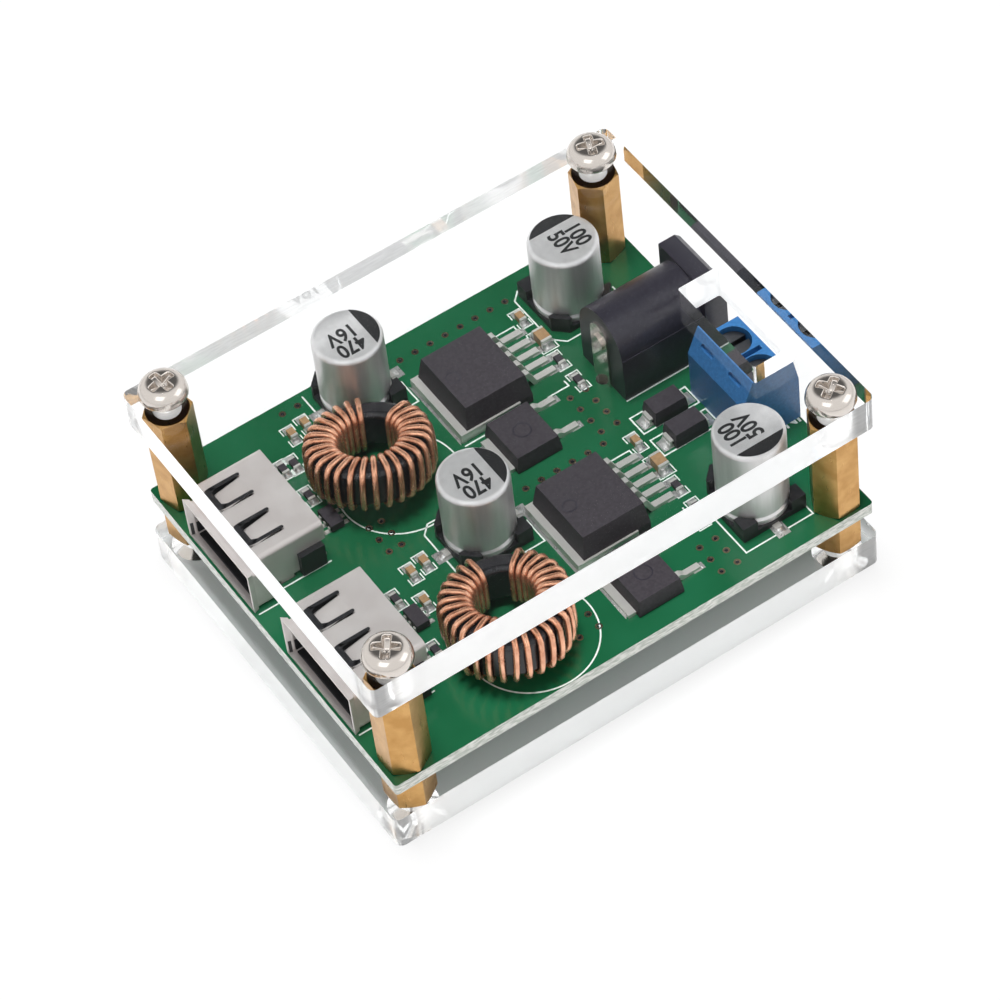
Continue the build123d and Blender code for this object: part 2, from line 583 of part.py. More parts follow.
def coil_route(coil):
    """The wire's corners: up through the board, round the core turn by turn, and down again."""
    offset = WIRE_SLACK + WIRE_DIAMETER / 2
    inner = CORE_INNER / 2 - offset
    outer = CORE_OUTER / 2 + offset
    half = CORE_HEIGHT / 2 + offset
    edge = CORE_ROUNDING
    loop = [
        (outer, -half + edge), (outer, half - edge), (outer - edge, half), (inner + edge, half),
        (inner, half - edge), (inner, -half + edge), (inner + edge, -half), (outer - edge, -half)]
    span = math.radians(360 - COIL_GAP_DEG)
    turns = int(span * inner / (WIRE_DIAMETER + TURN_GAP))
    start = math.radians(coil["gap_deg"] + COIL_GAP_DEG / 2)
    last = turns * len(loop)
    place = coil_place(coil)
    route = []
    for step in range(last + 1):
        radius, height = loop[step % len(loop)]
        angle = start + span * step / last
        point = place * Pos(radius * math.cos(angle), radius * math.sin(angle), height)
        route.append(point.position)
    ends = [Vector(corner.X, corner.Y, LEAD_TIP) for corner in (route[0], route[-1])]
    return [ends[0]] + route + [ends[1]]


def coil_winding(coil):
    route = coil_route(coil)
    section = Plane(origin=route[0], z_dir=route[1] - route[0]) * RegularPolygon(WIRE_DIAMETER / 2, 8)
    return sweep(section, path=Polyline(*route), transition=Transition.RIGHT)


# Electrolytic capacitors


def capacitor_can():
    radius = CAN_DIAMETER / 2
    neck = radius - CAN_CRIMP_DEPTH
    can = turned(
        (0, CAN_BASE_FLOOR), (radius, CAN_BASE_FLOOR), (radius, CAN_CRIMP_HEIGHT - 2 * CAN_CRIMP_DEPTH),
        (neck, CAN_CRIMP_HEIGHT - CAN_CRIMP_DEPTH), (neck, CAN_CRIMP_HEIGHT),
        (radius, CAN_CRIMP_HEIGHT + CAN_CRIMP_DEPTH), (radius, CAN_HEIGHT), (0, CAN_HEIGHT))
    return fillet(can.edges().group_by(Axis.Z)[-1], CAN_TOP_ROUNDING)


def capacitor_lead(side):
    """A flat lead under the base, sticking out beyond its edge."""
    reach = CAN_DIAMETER / 2 + CAN_BASE_MARGIN + CAN_LEAD_OVERHANG
    along = sorted((side * CAN_LEAD_GAP / 2, side * reach))
    return block(along, centred(0, CAN_LEAD_WIDTH), (0, CAN_LEAD_SHEET))


def capacitor_base():
    """A square plate with a post at each corner, chamfered at the positive side (-X)."""
    half = CAN_DIAMETER / 2 + CAN_BASE_MARGIN
    clear = half - CAN_BASE_POST_WIDTH
    whole = (-half, half)
    between = (-clear, clear)
    above = (CAN_BASE_FLOOR, CAN_BASE_POST)
    base = block(whole, whole, (0, CAN_BASE_POST))
    base = chamfer(base.edges().filter_by(Axis.Z).group_by(Axis.X)[0], CAN_BASE_CHAMFER)
    base -= rod(0, 0, CAN_DIAMETER + 2 * CAN_FIT, CAN_BASE_FLOOR, CAN_BASE_POST)
    base -= block(whole, between, above) + block(between, whole, above)
    return base - capacitor_lead(-1) - capacitor_lead(1)


def capacitor(x, y, mark):
    place = Pos(x, y, BOARD_TOP) * Rot(0, 0, mark)
    leads = group([place * capacitor_lead(-1), place * capacitor_lead(1)])
    return {"can": place * capacitor_can(), "base": place * capacitor_base(), "leads": leads}


# Moulded power parts


def power_body(x, y, kind):
    """A moulded body that narrows upwards from the top of its tab."""
    length, width, height = kind["size"]
    middle = BOARD_TOP + kind["tab_thickness"]
    outline = Pos(x + length / 2, y, middle) * Rectangle(length, width)
    upper = extrude(outline, amount=BOARD_TOP + height - middle, taper=POWER_DRAFT_DEG)
    return upper + block((x, x + length), centred(y, width), (BOARD_TOP + POWER_STANDOFF, middle))


def power_lead(x, y, kind):
    """A bent lead: out of the body, down, and along the board."""
    sheet = kind["lead_sheet"]
    root = x - sheet
    tip = x + kind["lead_reach"]
    heel = tip - kind["lead_foot"]
    bend = (x + heel) / 2
    foot = BOARD_TOP + sheet
    out = BOARD_TOP + kind["lead_exit"]
    return side_profile(
        centred(y, kind["lead_width"]), (root, out), (bend, out), (heel, foot), (tip, foot),
        (tip, BOARD_TOP), (heel - sheet, BOARD_TOP), (bend - sheet, out - sheet), (root, out - sheet))


def power_part(x, y, kind):
    length = kind["size"][0]
    tab_x = (x - kind["tab_overhang"], x + POWER_TAB_COVER * length)
    tab = block(tab_x, centred(y, kind["tab_width"]), (BOARD_TOP, BOARD_TOP + kind["tab_thickness"]))
    half_row = (kind["leads"] - 1) / 2
    leads = [power_lead(x + length, y + (i - half_row) * kind["pitch"], kind) for i in range(kind["leads"])]
    return {"body": power_body(x, y, kind) - tab - leads, "tab": tab, "leads": group(leads)}


def inlet_diode_lead(x, y, side):
    """A flat lead that comes out at mid height, turns down and tucks under the body."""
    length, _, height = INLET_DIODE_SIZE
    sheet = INLET_LEAD_SHEET
    end = x + side * INLET_DIODE_SPAN / 2
    across = centred(y, INLET_LEAD_WIDTH)
    middle = BOARD_TOP + height / 2
    foot = block(sorted((end - side * INLET_LEAD_FOOT, end)), across, (BOARD_TOP, BOARD_TOP + sheet))
    riser = block(sorted((end - side * sheet, end)), across, (BOARD_TOP, middle))
    arm = block(sorted((x + side * (length / 2 - sheet), end)), across, (middle - sheet, middle))
    return foot + riser + arm


def inlet_diode_body(x, y):
    length, width, height = INLET_DIODE_SIZE
    middle = BOARD_TOP + height / 2
    outline = Pos(x, y, middle) * Rectangle(length, width)
    upper = extrude(outline, amount=height / 2, taper=POWER_DRAFT_DEG)
    return upper + block(centred(x, length), centred(y, width), (BOARD_TOP + POWER_STANDOFF, middle))


def inlet_diodes():
    bodies = []
    leads = []
    for offset in INLET_DIODE_OFFSETS:
        y = TERMINAL_Y + offset
        pair = [inlet_diode_lead(INLET_DIODE_X, y, side) for side in (-1, 1)]
        bodies.append(inlet_diode_body(INLET_DIODE_X, y) - pair)
        leads += pair
    return {"inlet_diode_bodies": group(bodies), "inlet_diode_leads": group(leads)}


# Round DC inlet


def jack_pin():
    """The centre pin, riveted through the rear of the housing and the rear terminal."""
    front = JACK_FRONT_X - JACK_PIN_SETBACK
    pin = rod_x(JACK_Y, JACK_AXIS_Z, JACK_PIN_DIAMETER, JACK_REAR_X - 2 * JACK_SHEET, front)
    return fillet(pin.edges().group_by(Axis.X)[-1], JACK_PIN_ROUNDING)


def jack_rear_terminal():
    """A plate up the rear face with a round top, and a leg through the board."""
    x = (JACK_REAR_X - JACK_SHEET, JACK_REAR_X)
    round_z = BOARD_TOP + JACK_PLATE_HEIGHT - JACK_PLATE_WIDTH / 2
    plate = block(x, centred(JACK_Y, JACK_PLATE_WIDTH), (BOARD_TOP, round_z))
    plate += rod_x(JACK_Y, round_z, JACK_PLATE_WIDTH, *x)
    plate += block(x, centred(JACK_Y, JACK_LEG_WIDTH), (LEAD_TIP, BOARD_TOP))
    return plate - jack_pin()


def jack_spring():
    """The sleeve contact: a leaf along the bottom of the bore, with a leg through the board."""
    floor = JACK_AXIS_Z - JACK_BORE / 2
    across = centred(JACK_Y, JACK_SPRING_WIDTH)
    leaf = block((JACK_FLOOR_X - JACK_SHEET, JACK_SHOULDER_X), across, (floor, floor + JACK_SHEET))
    return leaf + block((JACK_FLOOR_X - JACK_SHEET, JACK_FLOOR_X), across, (LEAD_TIP, floor))


def jack_housing():
    top = BOARD_TOP + JACK_FLANGE_HEIGHT
    body = block((JACK_REAR_X, JACK_SHOULDER_X), centred(JACK_Y, JACK_BODY_WIDTH), (BOARD_TOP, JACK_AXIS_Z))
    body += rod_x(JACK_Y, JACK_AXIS_Z, JACK_BARREL_DIAMETER, JACK_REAR_X, JACK_SHOULDER_X)
    flange = block((JACK_SHOULDER_X, JACK_FRONT_X), centred(JACK_Y, JACK_FLANGE_WIDTH), (BOARD_TOP, top))
    top_front = flange.edges().filter_by(Axis.Y).group_by(Axis.Z)[-1].sort_by(Axis.X)[-1]
    body += chamfer(top_front, JACK_FLANGE_CHAMFER)
    body -= rod_x(JACK_Y, JACK_AXIS_Z, JACK_BORE, JACK_FLOOR_X, JACK_FRONT_X)
    return body - jack_pin() - jack_spring()


# Screw terminal block


def terminal_pin(y):
    """The fixed contact: a plate across the clamp that turns down to the board."""
    width = CLAMP_WIDTH - 2 * CLAMP_WALL - 2 * TERMINAL_FIT
    plate_z = (CLAMP_ROOF - TERMINAL_PIN_SHEET, CLAMP_ROOF)
    leg_x = (TERMINAL_PIN_X, TERMINAL_PIN_X + TERMINAL_PIN_SHEET)
    plate = block((TERMINAL_PIN_X, CLAMP_X[1]), centred(y, width), plate_z)
    return plate + block(leg_x, centred(y, TERMINAL_LEG_WIDTH), (LEAD_TIP, CLAMP_ROOF))


def terminal_clamp(y):
    """The square loop that rises and grips the wire when its screw is turned."""
    loop = block(CLAMP_X, centred(y, CLAMP_WIDTH), (CLAMP_BOTTOM, CLAMP_TOP))
    loop -= block(CLAMP_X, centred(y, CLAMP_WIDTH - 2 * CLAMP_WALL), (CLAMP_BOTTOM + CLAMP_WALL, CLAMP_ROOF))
    return loop - rod(TERMINAL_WELL_X, y, TERMINAL_SCREW + 2 * TERMINAL_SCREW_FIT, CLAMP_ROOF, CLAMP_TOP)


def terminal_screw(y):
    top = TERMINAL_SEAT + TERMINAL_HEAD_HEIGHT
    slot_x = centred(TERMINAL_WELL_X, TERMINAL_HEAD)
    slot = block(slot_x, centred(y, TERMINAL_HEAD_SLOT), (top - TERMINAL_HEAD_HEIGHT / 2, top))
    head = rod(TERMINAL_WELL_X, y, TERMINAL_HEAD, TERMINAL_SEAT, top) - slot
    return head + rod(TERMINAL_WELL_X, y, TERMINAL_SCREW, CLAMP_ROOF, TERMINAL_SEAT)


def terminal_dimple(y):
    """A shallow oval pocket in the sloping rear face."""
    rise = TERMINAL_HEIGHT - TERMINAL_REAR_WALL
    lean = math.degrees(math.atan2(TERMINAL_REAR_SLOPE, rise))
    x = TERMINAL_REAR_X + TERMINAL_REAR_SLOPE * DIMPLE_RISE / rise
    z = BOARD_TOP + TERMINAL_REAR_WALL + DIMPLE_RISE
    outline = Rot(0, 0, 90) * SlotOverall(DIMPLE_LENGTH, DIMPLE_WIDTH)
    pocket = extrude(outline, amount=DIMPLE_DEPTH, both=True)
    return Pos(x, y, z) * Rot(0, lean - 90, 0) * pocket


def terminal_cavity(y):
    """The well for the screw, the shaft for the clamp and the way in for the wire."""
    shoulder = TERMINAL_SEAT - TERMINAL_SHOULDER
    around = (CLAMP_X[0] - TERMINAL_FIT, CLAMP_X[1] + TERMINAL_FIT)
    entry_z = (CLAMP_BOTTOM + CLAMP_WALL, CLAMP_ROOF - TERMINAL_PIN_SHEET)
    return [
        rod(TERMINAL_WELL_X, y, TERMINAL_WELL, TERMINAL_SEAT, TERMINAL_TOP),
        rod(TERMINAL_WELL_X, y, TERMINAL_SCREW + 2 * TERMINAL_FIT, shoulder, TERMINAL_SEAT),
        block(around, centred(y, CLAMP_WIDTH + 2 * TERMINAL_FIT), (CLAMP_BOTTOM, shoulder)),
        block((CLAMP_X[1], TERMINAL_FRONT_X), centred(y, TERMINAL_ENTRY_WIDTH), entry_z)]


def terminal_housing():
    half = TERMINAL_PITCH + TERMINAL_END_WALL
    body = side_profile(
        centred(TERMINAL_Y, 2 * half), (TERMINAL_REAR_X, BOARD_TOP), (TERMINAL_FRONT_X, BOARD_TOP),
        (TERMINAL_FRONT_X, BOARD_TOP + TERMINAL_FRONT_WALL),
        (TERMINAL_FRONT_X - TERMINAL_FRONT_SLOPE, TERMINAL_TOP),
        (TERMINAL_REAR_X + TERMINAL_REAR_SLOPE, TERMINAL_TOP),
        (TERMINAL_REAR_X, BOARD_TOP + TERMINAL_REAR_WALL))
    for y in TERMINAL_POLES:
        body -= terminal_cavity(y)
        body -= [terminal_pin(y), terminal_dimple(y)]
    groove_x = centred(TERMINAL_WELL_X + TERMINAL_GROOVE_OFFSET, TERMINAL_GROOVE_LENGTH)
    groove_z = (TERMINAL_TOP - TERMINAL_GROOVE_DEPTH, TERMINAL_TOP)
    return body - block(groove_x, centred(TERMINAL_Y, TERMINAL_HEAD_SLOT), groove_z)


# Chip parts


def chip(x, y, size):
    """The body and the two metal ends of a chip part."""
    width, length, height = size
    across = centred(x, width)
    inner = centred(y, length - 2 * CHIP_END)
    outer = centred(y, length)
    z = (BOARD_TOP, BOARD_TOP + height)
    ends = [block(across, (outer[0], inner[0]), z), block(across, (inner[1], outer[1]), z)]
    return block(across, inner, z), ends


def chips(places, size):
    made = [chip(*beside(*place), size) for place in places]
    return [body for body, _ in made], [end for _, ends in made for end in ends]


def charge_chip_lead(x, y, side):
    """A small lead that comes down the chip's side and turns outwards."""
    edge = x + side * CHARGE_CHIP_SIZE[0] / 2
    across = centred(y, CHARGE_LEAD_WIDTH)
    riser_x = sorted((edge, edge + side * CHARGE_LEAD_SHEET))
    foot_x = sorted((edge, edge + side * CHARGE_LEAD_REACH))
    riser = block(riser_x, across, (BOARD_TOP, BOARD_TOP + CHARGE_CHIP_SIZE[2] / 2))
    return riser + block(foot_x, across, (BOARD_TOP, BOARD_TOP + CHARGE_LEAD_SHEET))


def charge_chips():
    """Two small chips with a row of leads along each long side."""
    width, length, height = CHARGE_CHIP_SIZE
    z = (BOARD_TOP + CHARGE_LEAD_SHEET, BOARD_TOP + height)
    rows = [(i - (CHARGE_LEADS - 1) / 2) * CHARGE_LEAD_PITCH for i in range(CHARGE_LEADS)]
    centres = [beside(*place) for place in CHARGE_CHIPS]
    bodies = [block(centred(x, width), centred(y, length), z) for x, y in centres]
    leads = [charge_chip_lead(x, y + row, side) for x, y in centres for side in (-1, 1) for row in rows]
    return {"charge_chip_bodies": group(bodies), "charge_chip_leads": group(leads)}


# Circuit board


def via_holes():
    holes = []
    for field in VIA_FIELDS:
        x, y = beside(field["beside"], *field["start"])
        for i in range(field["columns"]):
            for j in range(field["rows"]):
                place = (x + i * field["pitch"], y - j * VIA_PITCH)
                holes.append(rod(*place, VIA_DIAMETER, BOARD_BOTTOM, BOARD_TOP))
    return holes


def usb_holes(y):
    """Round holes for the four contacts and slots for the shell's two legs."""
    pin_x = USB_CONTACT_X - USB_CONTACT_SHEET / 2
    holes = [board_hole(pin_x, y + offset, USB_CONTACT_WIDTH) for offset in USB_CONTACT_OFFSETS]
    slot_x = centred(USB_LEG_X, USB_LEG_WIDTH + 2 * LEAD_CLEARANCE)
    for side in (-1, 1):
        leg_y = y + side * (USB_WIDTH - USB_SHEET) / 2
        slot_y = centred(leg_y, USB_SHEET + 2 * LEAD_CLEARANCE)
        holes.append(block(slot_x, slot_y, (BOARD_BOTTOM, BOARD_TOP)))
    return holes


def circuit_board():
    board = rounded_sheet(BOARD_LENGTH, BOARD_WIDTH, BOARD_CORNER, BOARD_BOTTOM, BOARD_TOP)
    holes = corner_holes(BOARD_BOTTOM, BOARD_TOP) + via_holes()
    for y in USB_CENTRES:
        holes += usb_holes(y)
    for coil in COILS:
        route = coil_route(coil)
        holes += [board_hole(end.X, end.Y, WIRE_DIAMETER) for end in (route[0], route[-1])]
    holes.append(board_hole(JACK_REAR_X - JACK_SHEET / 2, JACK_Y, JACK_LEG_WIDTH))
    holes.append(board_hole(JACK_FLOOR_X - JACK_SHEET / 2, JACK_Y, JACK_SPRING_WIDTH))
    pin_x = TERMINAL_PIN_X + TERMINAL_PIN_SHEET / 2
    pin_width = math.hypot(TERMINAL_PIN_SHEET, TERMINAL_LEG_WIDTH)
    holes += [board_hole(pin_x, y, pin_width) for y in TERMINAL_POLES]
    return board - holes


def frame_parts():
    return {
        "bottom_plate": bottom_plate(),
        "top_plate": top_plate(),
        "circuit_board": circuit_board(),
        "upper_standoffs": at_corners(upper_standoff(), BOARD_TOP),
        "lower_spacers": at_corners(lower_spacer(), PLATE_TOP),
        "top_screws": at_corners(top_screw(), COVER_TOP),
        "bottom_screws": at_corners(bottom_screw(), 0),
    }


def connector_parts():
    parts = {
        "dc_inlet_housing": jack_housing(),
        "dc_inlet_centre_pin": jack_pin(),
        "dc_inlet_rear_terminal": jack_rear_terminal(),
        "dc_inlet_sleeve_spring": jack_spring(),
        "terminal_block_housing": terminal_housing(),
        "terminal_pins": group([terminal_pin(y) for y in TERMINAL_POLES]),
    }
    for number, y in enumerate(TERMINAL_POLES, 1):
        parts[f"terminal_screw_{number}"] = terminal_screw(y)
        parts[f"terminal_clamp_{number}"] = terminal_clamp(y)
    for number, y in enumerate(USB_CENTRES, 1):
        parts[f"usb_socket_{number}_shell"] = usb_shell(y)
        parts[f"usb_socket_{number}_insulator"] = usb_insulator(y)
        parts[f"usb_socket_{number}_contacts"] = group([usb_contact(y + at) for at in USB_CONTACT_OFFSETS])
    return parts


def power_parts():
    parts = inlet_diodes()
    for number, coil in enumerate(COILS, 1):
        parts[f"coil_{number}_core"] = coil_core(coil)
        parts[f"coil_{number}_winding"] = coil_winding(coil)
    for name, mark in CAPACITOR_MARKS_DEG.items():
        for piece, shape in capacitor(*PLACES[name], mark).items():
            parts[f"{name}_{piece}"] = shape
    for kind_name, kind in (("regulator", REGULATOR), ("output_diode", DIODE)):
        for name in (f"{kind_name}_1", f"{kind_name}_2"):
            for piece, shape in power_part(*PLACES[name], kind).items():
                parts[f"{name}_{piece}"] = shape
    return parts


def chip_parts():
    small_bodies, small_ends = chips(SMALL_CAPACITORS, SMALL_CHIP)
    large_bodies, large_ends = chips(LARGE_CAPACITORS, LARGE_CHIP)
    resistor_bodies, resistor_ends = chips(RESISTORS, RESISTOR)
    return {
        "chip_capacitor_bodies": group(small_bodies + large_bodies),
        "chip_resistor_bodies": group(resistor_bodies),
        "chip_end_caps": group(small_ends + large_ends + resistor_ends),
        **charge_chips(),
    }


os.makedirs("parts", exist_ok=True)
for node, shape in {**frame_parts(), **connector_parts(), **power_parts(), **chip_parts()}.items():
    export_step(shape, f"parts/{node}.step")
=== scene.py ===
import json
import math

import bmesh
import bpy
from mathutils import Matrix, Vector


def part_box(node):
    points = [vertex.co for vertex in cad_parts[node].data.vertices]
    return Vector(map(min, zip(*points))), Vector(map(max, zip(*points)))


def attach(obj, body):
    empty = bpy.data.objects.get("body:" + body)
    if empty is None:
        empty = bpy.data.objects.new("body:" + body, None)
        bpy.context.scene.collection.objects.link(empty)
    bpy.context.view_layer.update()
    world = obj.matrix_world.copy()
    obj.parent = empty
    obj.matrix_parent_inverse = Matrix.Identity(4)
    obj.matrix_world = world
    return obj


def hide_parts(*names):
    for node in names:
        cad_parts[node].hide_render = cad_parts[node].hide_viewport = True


# Looks of the buck converter module. Metres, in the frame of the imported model.
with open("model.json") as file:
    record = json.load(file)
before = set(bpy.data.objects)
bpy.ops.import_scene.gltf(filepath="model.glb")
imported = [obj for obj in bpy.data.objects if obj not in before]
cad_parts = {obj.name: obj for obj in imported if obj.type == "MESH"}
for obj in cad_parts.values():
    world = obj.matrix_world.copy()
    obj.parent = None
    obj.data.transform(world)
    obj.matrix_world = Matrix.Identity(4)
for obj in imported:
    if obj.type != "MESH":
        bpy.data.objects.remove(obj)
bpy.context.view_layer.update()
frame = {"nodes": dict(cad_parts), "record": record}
MM = 0.001

# Camera, fitted to the plate and board corners in the photograph
AZIMUTH = math.radians(-27.70)
ELEVATION = math.radians(50.85)
ROLL = math.radians(-7.82)
AIM = Vector((-1.004, -0.006, 10.884)) * MM
DISTANCE = 476.6 * MM
FOCAL_PER_WIDTH = 4.3505

# Levels and sizes taken from the frame
BOARD_LOW, BOARD_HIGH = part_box("circuit_board")
BOARD_TOP = BOARD_HIGH.z
BOARD_BOTTOM = BOARD_LOW.z
SILK_HEIGHT = 0.02 * MM
SILK_WIDTH = 0.18
PAD_HEIGHT = 0.03 * MM

# Each capacitor: the turn of its top print in degrees, and the value in two rows
CAPACITORS = {
    "output_capacitor_1": (0, ("470", "16V")), "output_capacitor_2": (0, ("470", "16V")),
    "input_capacitor_1": (90, ("100", "50V")), "input_capacitor_2": (-90, ("100", "50V"))}


class Shader:
    """A material with a Principled shader, and short calls that add its nodes."""

    def __init__(self, name, color, roughness, metallic=0.0, **sockets):
        self.material = bpy.data.materials.new(name)
        self.material.use_nodes = True
        self.tree = self.material.node_tree
        self.bsdf = self.tree.nodes["Principled BSDF"]
        self.out = self.tree.nodes["Material Output"]
        self.set("Base Color", (*color, 1))
        self.set("Roughness", roughness)
        self.set("Metallic", metallic)
        for key, value in sockets.items():
            self.set(key.replace("_", " "), value)
        self.place = self.node("ShaderNodeTexCoord").outputs["Object"]

    def set(self, socket, value):
        self.bsdf.inputs[socket].default_value = value

    def node(self, kind, **settings):
        made = self.tree.nodes.new(kind)
        for key, value in settings.items():
            setattr(made, key, value)
        return made

    def link(self, source, target):
        self.tree.links.new(source, target)

    def noise(self, scale, detail=3.0, stretch=(1, 1, 1)):
        mapping = self.node("ShaderNodeMapping")
        mapping.inputs["Scale"].default_value = stretch
        self.link(self.place, mapping.inputs["Vector"])
        made = self.node("ShaderNodeTexNoise")
        made.inputs["Scale"].default_value = scale
        made.inputs["Detail"].default_value = detail
        self.link(mapping.outputs["Vector"], made.inputs["Vector"])
        return made.outputs["Fac"]

    def ramp(self, source, low, high, start=0.35, end=0.65):
        made = self.node("ShaderNodeValToRGB")
        made.color_ramp.elements[0].position = start
        made.color_ramp.elements[0].color = (*low, 1)
        made.color_ramp.elements[1].position = end
        made.color_ramp.elements[1].color = (*high, 1)
        self.link(source, made.inputs["Fac"])
        return made.outputs["Color"]

    def range(self, source, low, high):
        made = self.node("ShaderNodeMapRange")
        made.inputs["To Min"].default_value = low
        made.inputs["To Max"].default_value = high
        self.link(source, made.inputs["Value"])
        return made.outputs["Result"]

    def math(self, operation, first, second):
        made = self.node("ShaderNodeMath", operation=operation)
        for socket, value in zip(made.inputs, (first, second)):
            if isinstance(value, (int, float)):
                socket.default_value = value
            else:
                self.link(value, socket)
        return made.outputs["Value"]

    def mix(self, factor, first, second):
        made = self.node("ShaderNodeMix", data_type="RGBA")
        self.link(factor, made.inputs["Factor"])
        for socket, value in (("A", first), ("B", second)):
            target = next(i for i in made.inputs if i.name == socket and i.type == "RGBA")
            if isinstance(value, tuple):
                target.default_value = (*value, 1)
            else:
                self.link(value, target)
        return next(o for o in made.outputs if o.type == "RGBA")

    def shaders(self, factor, first, second):
        made = self.node("ShaderNodeMixShader")
        if isinstance(factor, float):
            made.inputs["Fac"].default_value = factor
        else:
            self.link(factor, made.inputs["Fac"])
        self.link(first, made.inputs[1])
        self.link(second, made.inputs[2])
        return made.outputs["Shader"]

    def color(self, source):
        self.link(source, self.bsdf.inputs["Base Color"])

    def rough(self, source):
        self.link(source, self.bsdf.inputs["Roughness"])

    def bump(self, source, distance, strength=1.0):
        made = self.node("ShaderNodeBump")
        made.inputs["Strength"].default_value = strength
        made.inputs["Distance"].default_value = distance
        self.link(source, made.inputs["Height"])
        self.link(made.outputs["Normal"], self.bsdf.inputs["Normal"])

    def axis(self, name):
        parts = self.node("ShaderNodeSeparateXYZ")
        self.link(self.place, parts.inputs["Vector"])
        return parts.outputs[name]

    def near_corner(self, start):
        """Rises towards a corner, along X and Y both, to the square of CORNER_FADE."""
        steps = []
        for name, first in zip("XY", start):
            made = self.node("ShaderNodeMapRange", interpolation_type="SMOOTHSTEP")
            for socket, value in (
                    ("From Min", first), ("From Max", first + CORNER_RANGE), ("To Max", CORNER_FADE)):
                made.inputs[socket].default_value = value
            self.link(self.math("ABSOLUTE", self.axis(name), 0.0), made.inputs["Value"])
            steps.append(made.outputs["Result"])
        return self.math("MULTIPLY", *steps)

    def screw_hole(self):
        """1 on the walls of the corner holes, which lie near two sides but on neither."""
        tests = []
        for name, first, last in zip("XY", HOLE_ZONE, OUTLINE_HALF):
            across = self.math("ABSOLUTE", self.axis(name), 0.0)
            tests += [self.math("GREATER_THAN", across, first), self.math("LESS_THAN", across, last)]
        pairs = self.math("MULTIPLY", *tests[:2]), self.math("MULTIPLY", *tests[2:])
        return self.math("MULTIPLY", *pairs)

    def facing_up(self):
        parts = self.node("ShaderNodeSeparateXYZ")
        self.link(self.node("ShaderNodeTexCoord").outputs["Normal"], parts.inputs["Vector"])
        return self.math("GREATER_THAN", self.math("ABSOLUTE", parts.outputs["Z"], 0.0), 0.5)


# Light levels. The world is white, with a soft dark flag where the clear plates would mirror it.
WORLD_STRENGTH = 0.38
MIRRORED_STRENGTH = 1.0
FLAG_TOWARDS = (0.293, 0.559, 0.776)
FLAG_EDGE = (0.74, 0.93)
FLAG_LEVEL = 0.06
LOW_SKY = 0.08
LOW_SKY_TOP = 0.65
FLOOR_GLOW = 0.8
FLOOR_GLOW_THROUGH = 0.06
# Painted glow: the emission strength on the clear plates' cut edges and hole walls, which whitens them
# though they are no lamp
EDGE_PAINTED_GLOW = 0.58
# Lamps: name, place, size, power, and whether the plates and metals mirror it
LAMPS = (
    ("key", (-0.35, -0.25, 0.55), (0.35, 0.35), 0.45, True),
    ("fill", (0.45, -0.35, 0.35), (0.40, 0.40), 0.45, True),
    ("top", (-0.01, 0.05, 0.70), (0.19, 0.19), 5.2, False))
LAMP_AIM = Vector((0, 0, 0.012))

# Materials

# The clear plates: where their corners clear up, where their screw holes are, and how strongly the back
# edge and the holes show their milk-white look, with its painted glow, from inside
CLEAR_CORNER = (27.6 * MM, 21.0 * MM)
CORNER_RANGE = 2 * MM
CORNER_FADE = 0.775
HOLE_ZONE = (25.5 * MM, 19.2 * MM)
OUTLINE_HALF = (31.5 * MM, 25.0 * MM)
HOLE_MILK = 0.7
BACK_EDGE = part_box("top_plate")[1].y - 0.3 * MM
BACK_EDGE_MILK = 0.72
MILK_WHITE = (0.95, 0.96, 0.965, 1)


def clear_acrylic():
    """Clear sheet with milk-white cut edges that carry a painted glow, and which lets the lamps' light
    through to what is under it.
    """
    s = Shader("clear_acrylic", (0.985, 0.993, 0.992), 0.015, IOR=1.49)
    s.set("Transmission Weight", 1.0)
    s.set("Specular IOR Level", 0.2)
    s.bump(s.noise(900, 2.0, (1, 1, 0.25)), 0.004 * MM, 0.25)
    cut = s.node("ShaderNodeBsdfDiffuse")
    cut.inputs["Color"].default_value = MILK_WHITE
    through = s.node("ShaderNodeBsdfTranslucent")
    through.inputs["Color"].default_value = MILK_WHITE
    # Painted glow: the cut edges emit light on top of their white, though they are no lamp
    painted_glow = s.node("ShaderNodeEmission")
    painted_glow.inputs["Strength"].default_value = EDGE_PAINTED_GLOW
    lit = s.node("ShaderNodeAddShader")
    s.link(s.shaders(0.5, cut.outputs["BSDF"], through.outputs["BSDF"]), lit.inputs[0])
    s.link(painted_glow.outputs["Emission"], lit.inputs[1])
    milk_and_glow = lit.outputs["Shader"]
    saw = s.range(s.noise(700, 3.0, (1, 1, 6)), 0.62, 0.92)
    outside = s.math("SUBTRACT", 1.0, s.node("ShaderNodeNewGeometry").outputs["Backfacing"])
    rough_back = s.math("MULTIPLY", s.math("GREATER_THAN", s.axis("Y"), BACK_EDGE), BACK_EDGE_MILK)
    shown = s.math("MAXIMUM", outside, rough_back)
    shown = s.math("MAXIMUM", shown, s.math("MULTIPLY", s.screw_hole(), HOLE_MILK))
    saw = s.math("MULTIPLY", saw, s.math("SUBTRACT", 1.0, s.near_corner(CLEAR_CORNER)))
    side = s.math("SUBTRACT", 1.0, s.facing_up())
    edge = s.math("MULTIPLY", side, s.math("MULTIPLY", saw, shown))
    body = s.shaders(edge, s.bsdf.outputs["BSDF"], milk_and_glow)
    clear = s.node("ShaderNodeBsdfTransparent")
    clear.inputs["Color"].default_value = (0.97, 0.98, 0.98, 1)
    path = s.node("ShaderNodeLightPath")
    passing = s.math("MAXIMUM", path.outputs["Is Shadow Ray"], path.outputs["Is Diffuse Ray"])
    s.link(s.shaders(passing, body, clear.outputs["BSDF"]), s.out.inputs["Surface"])
    return s.material


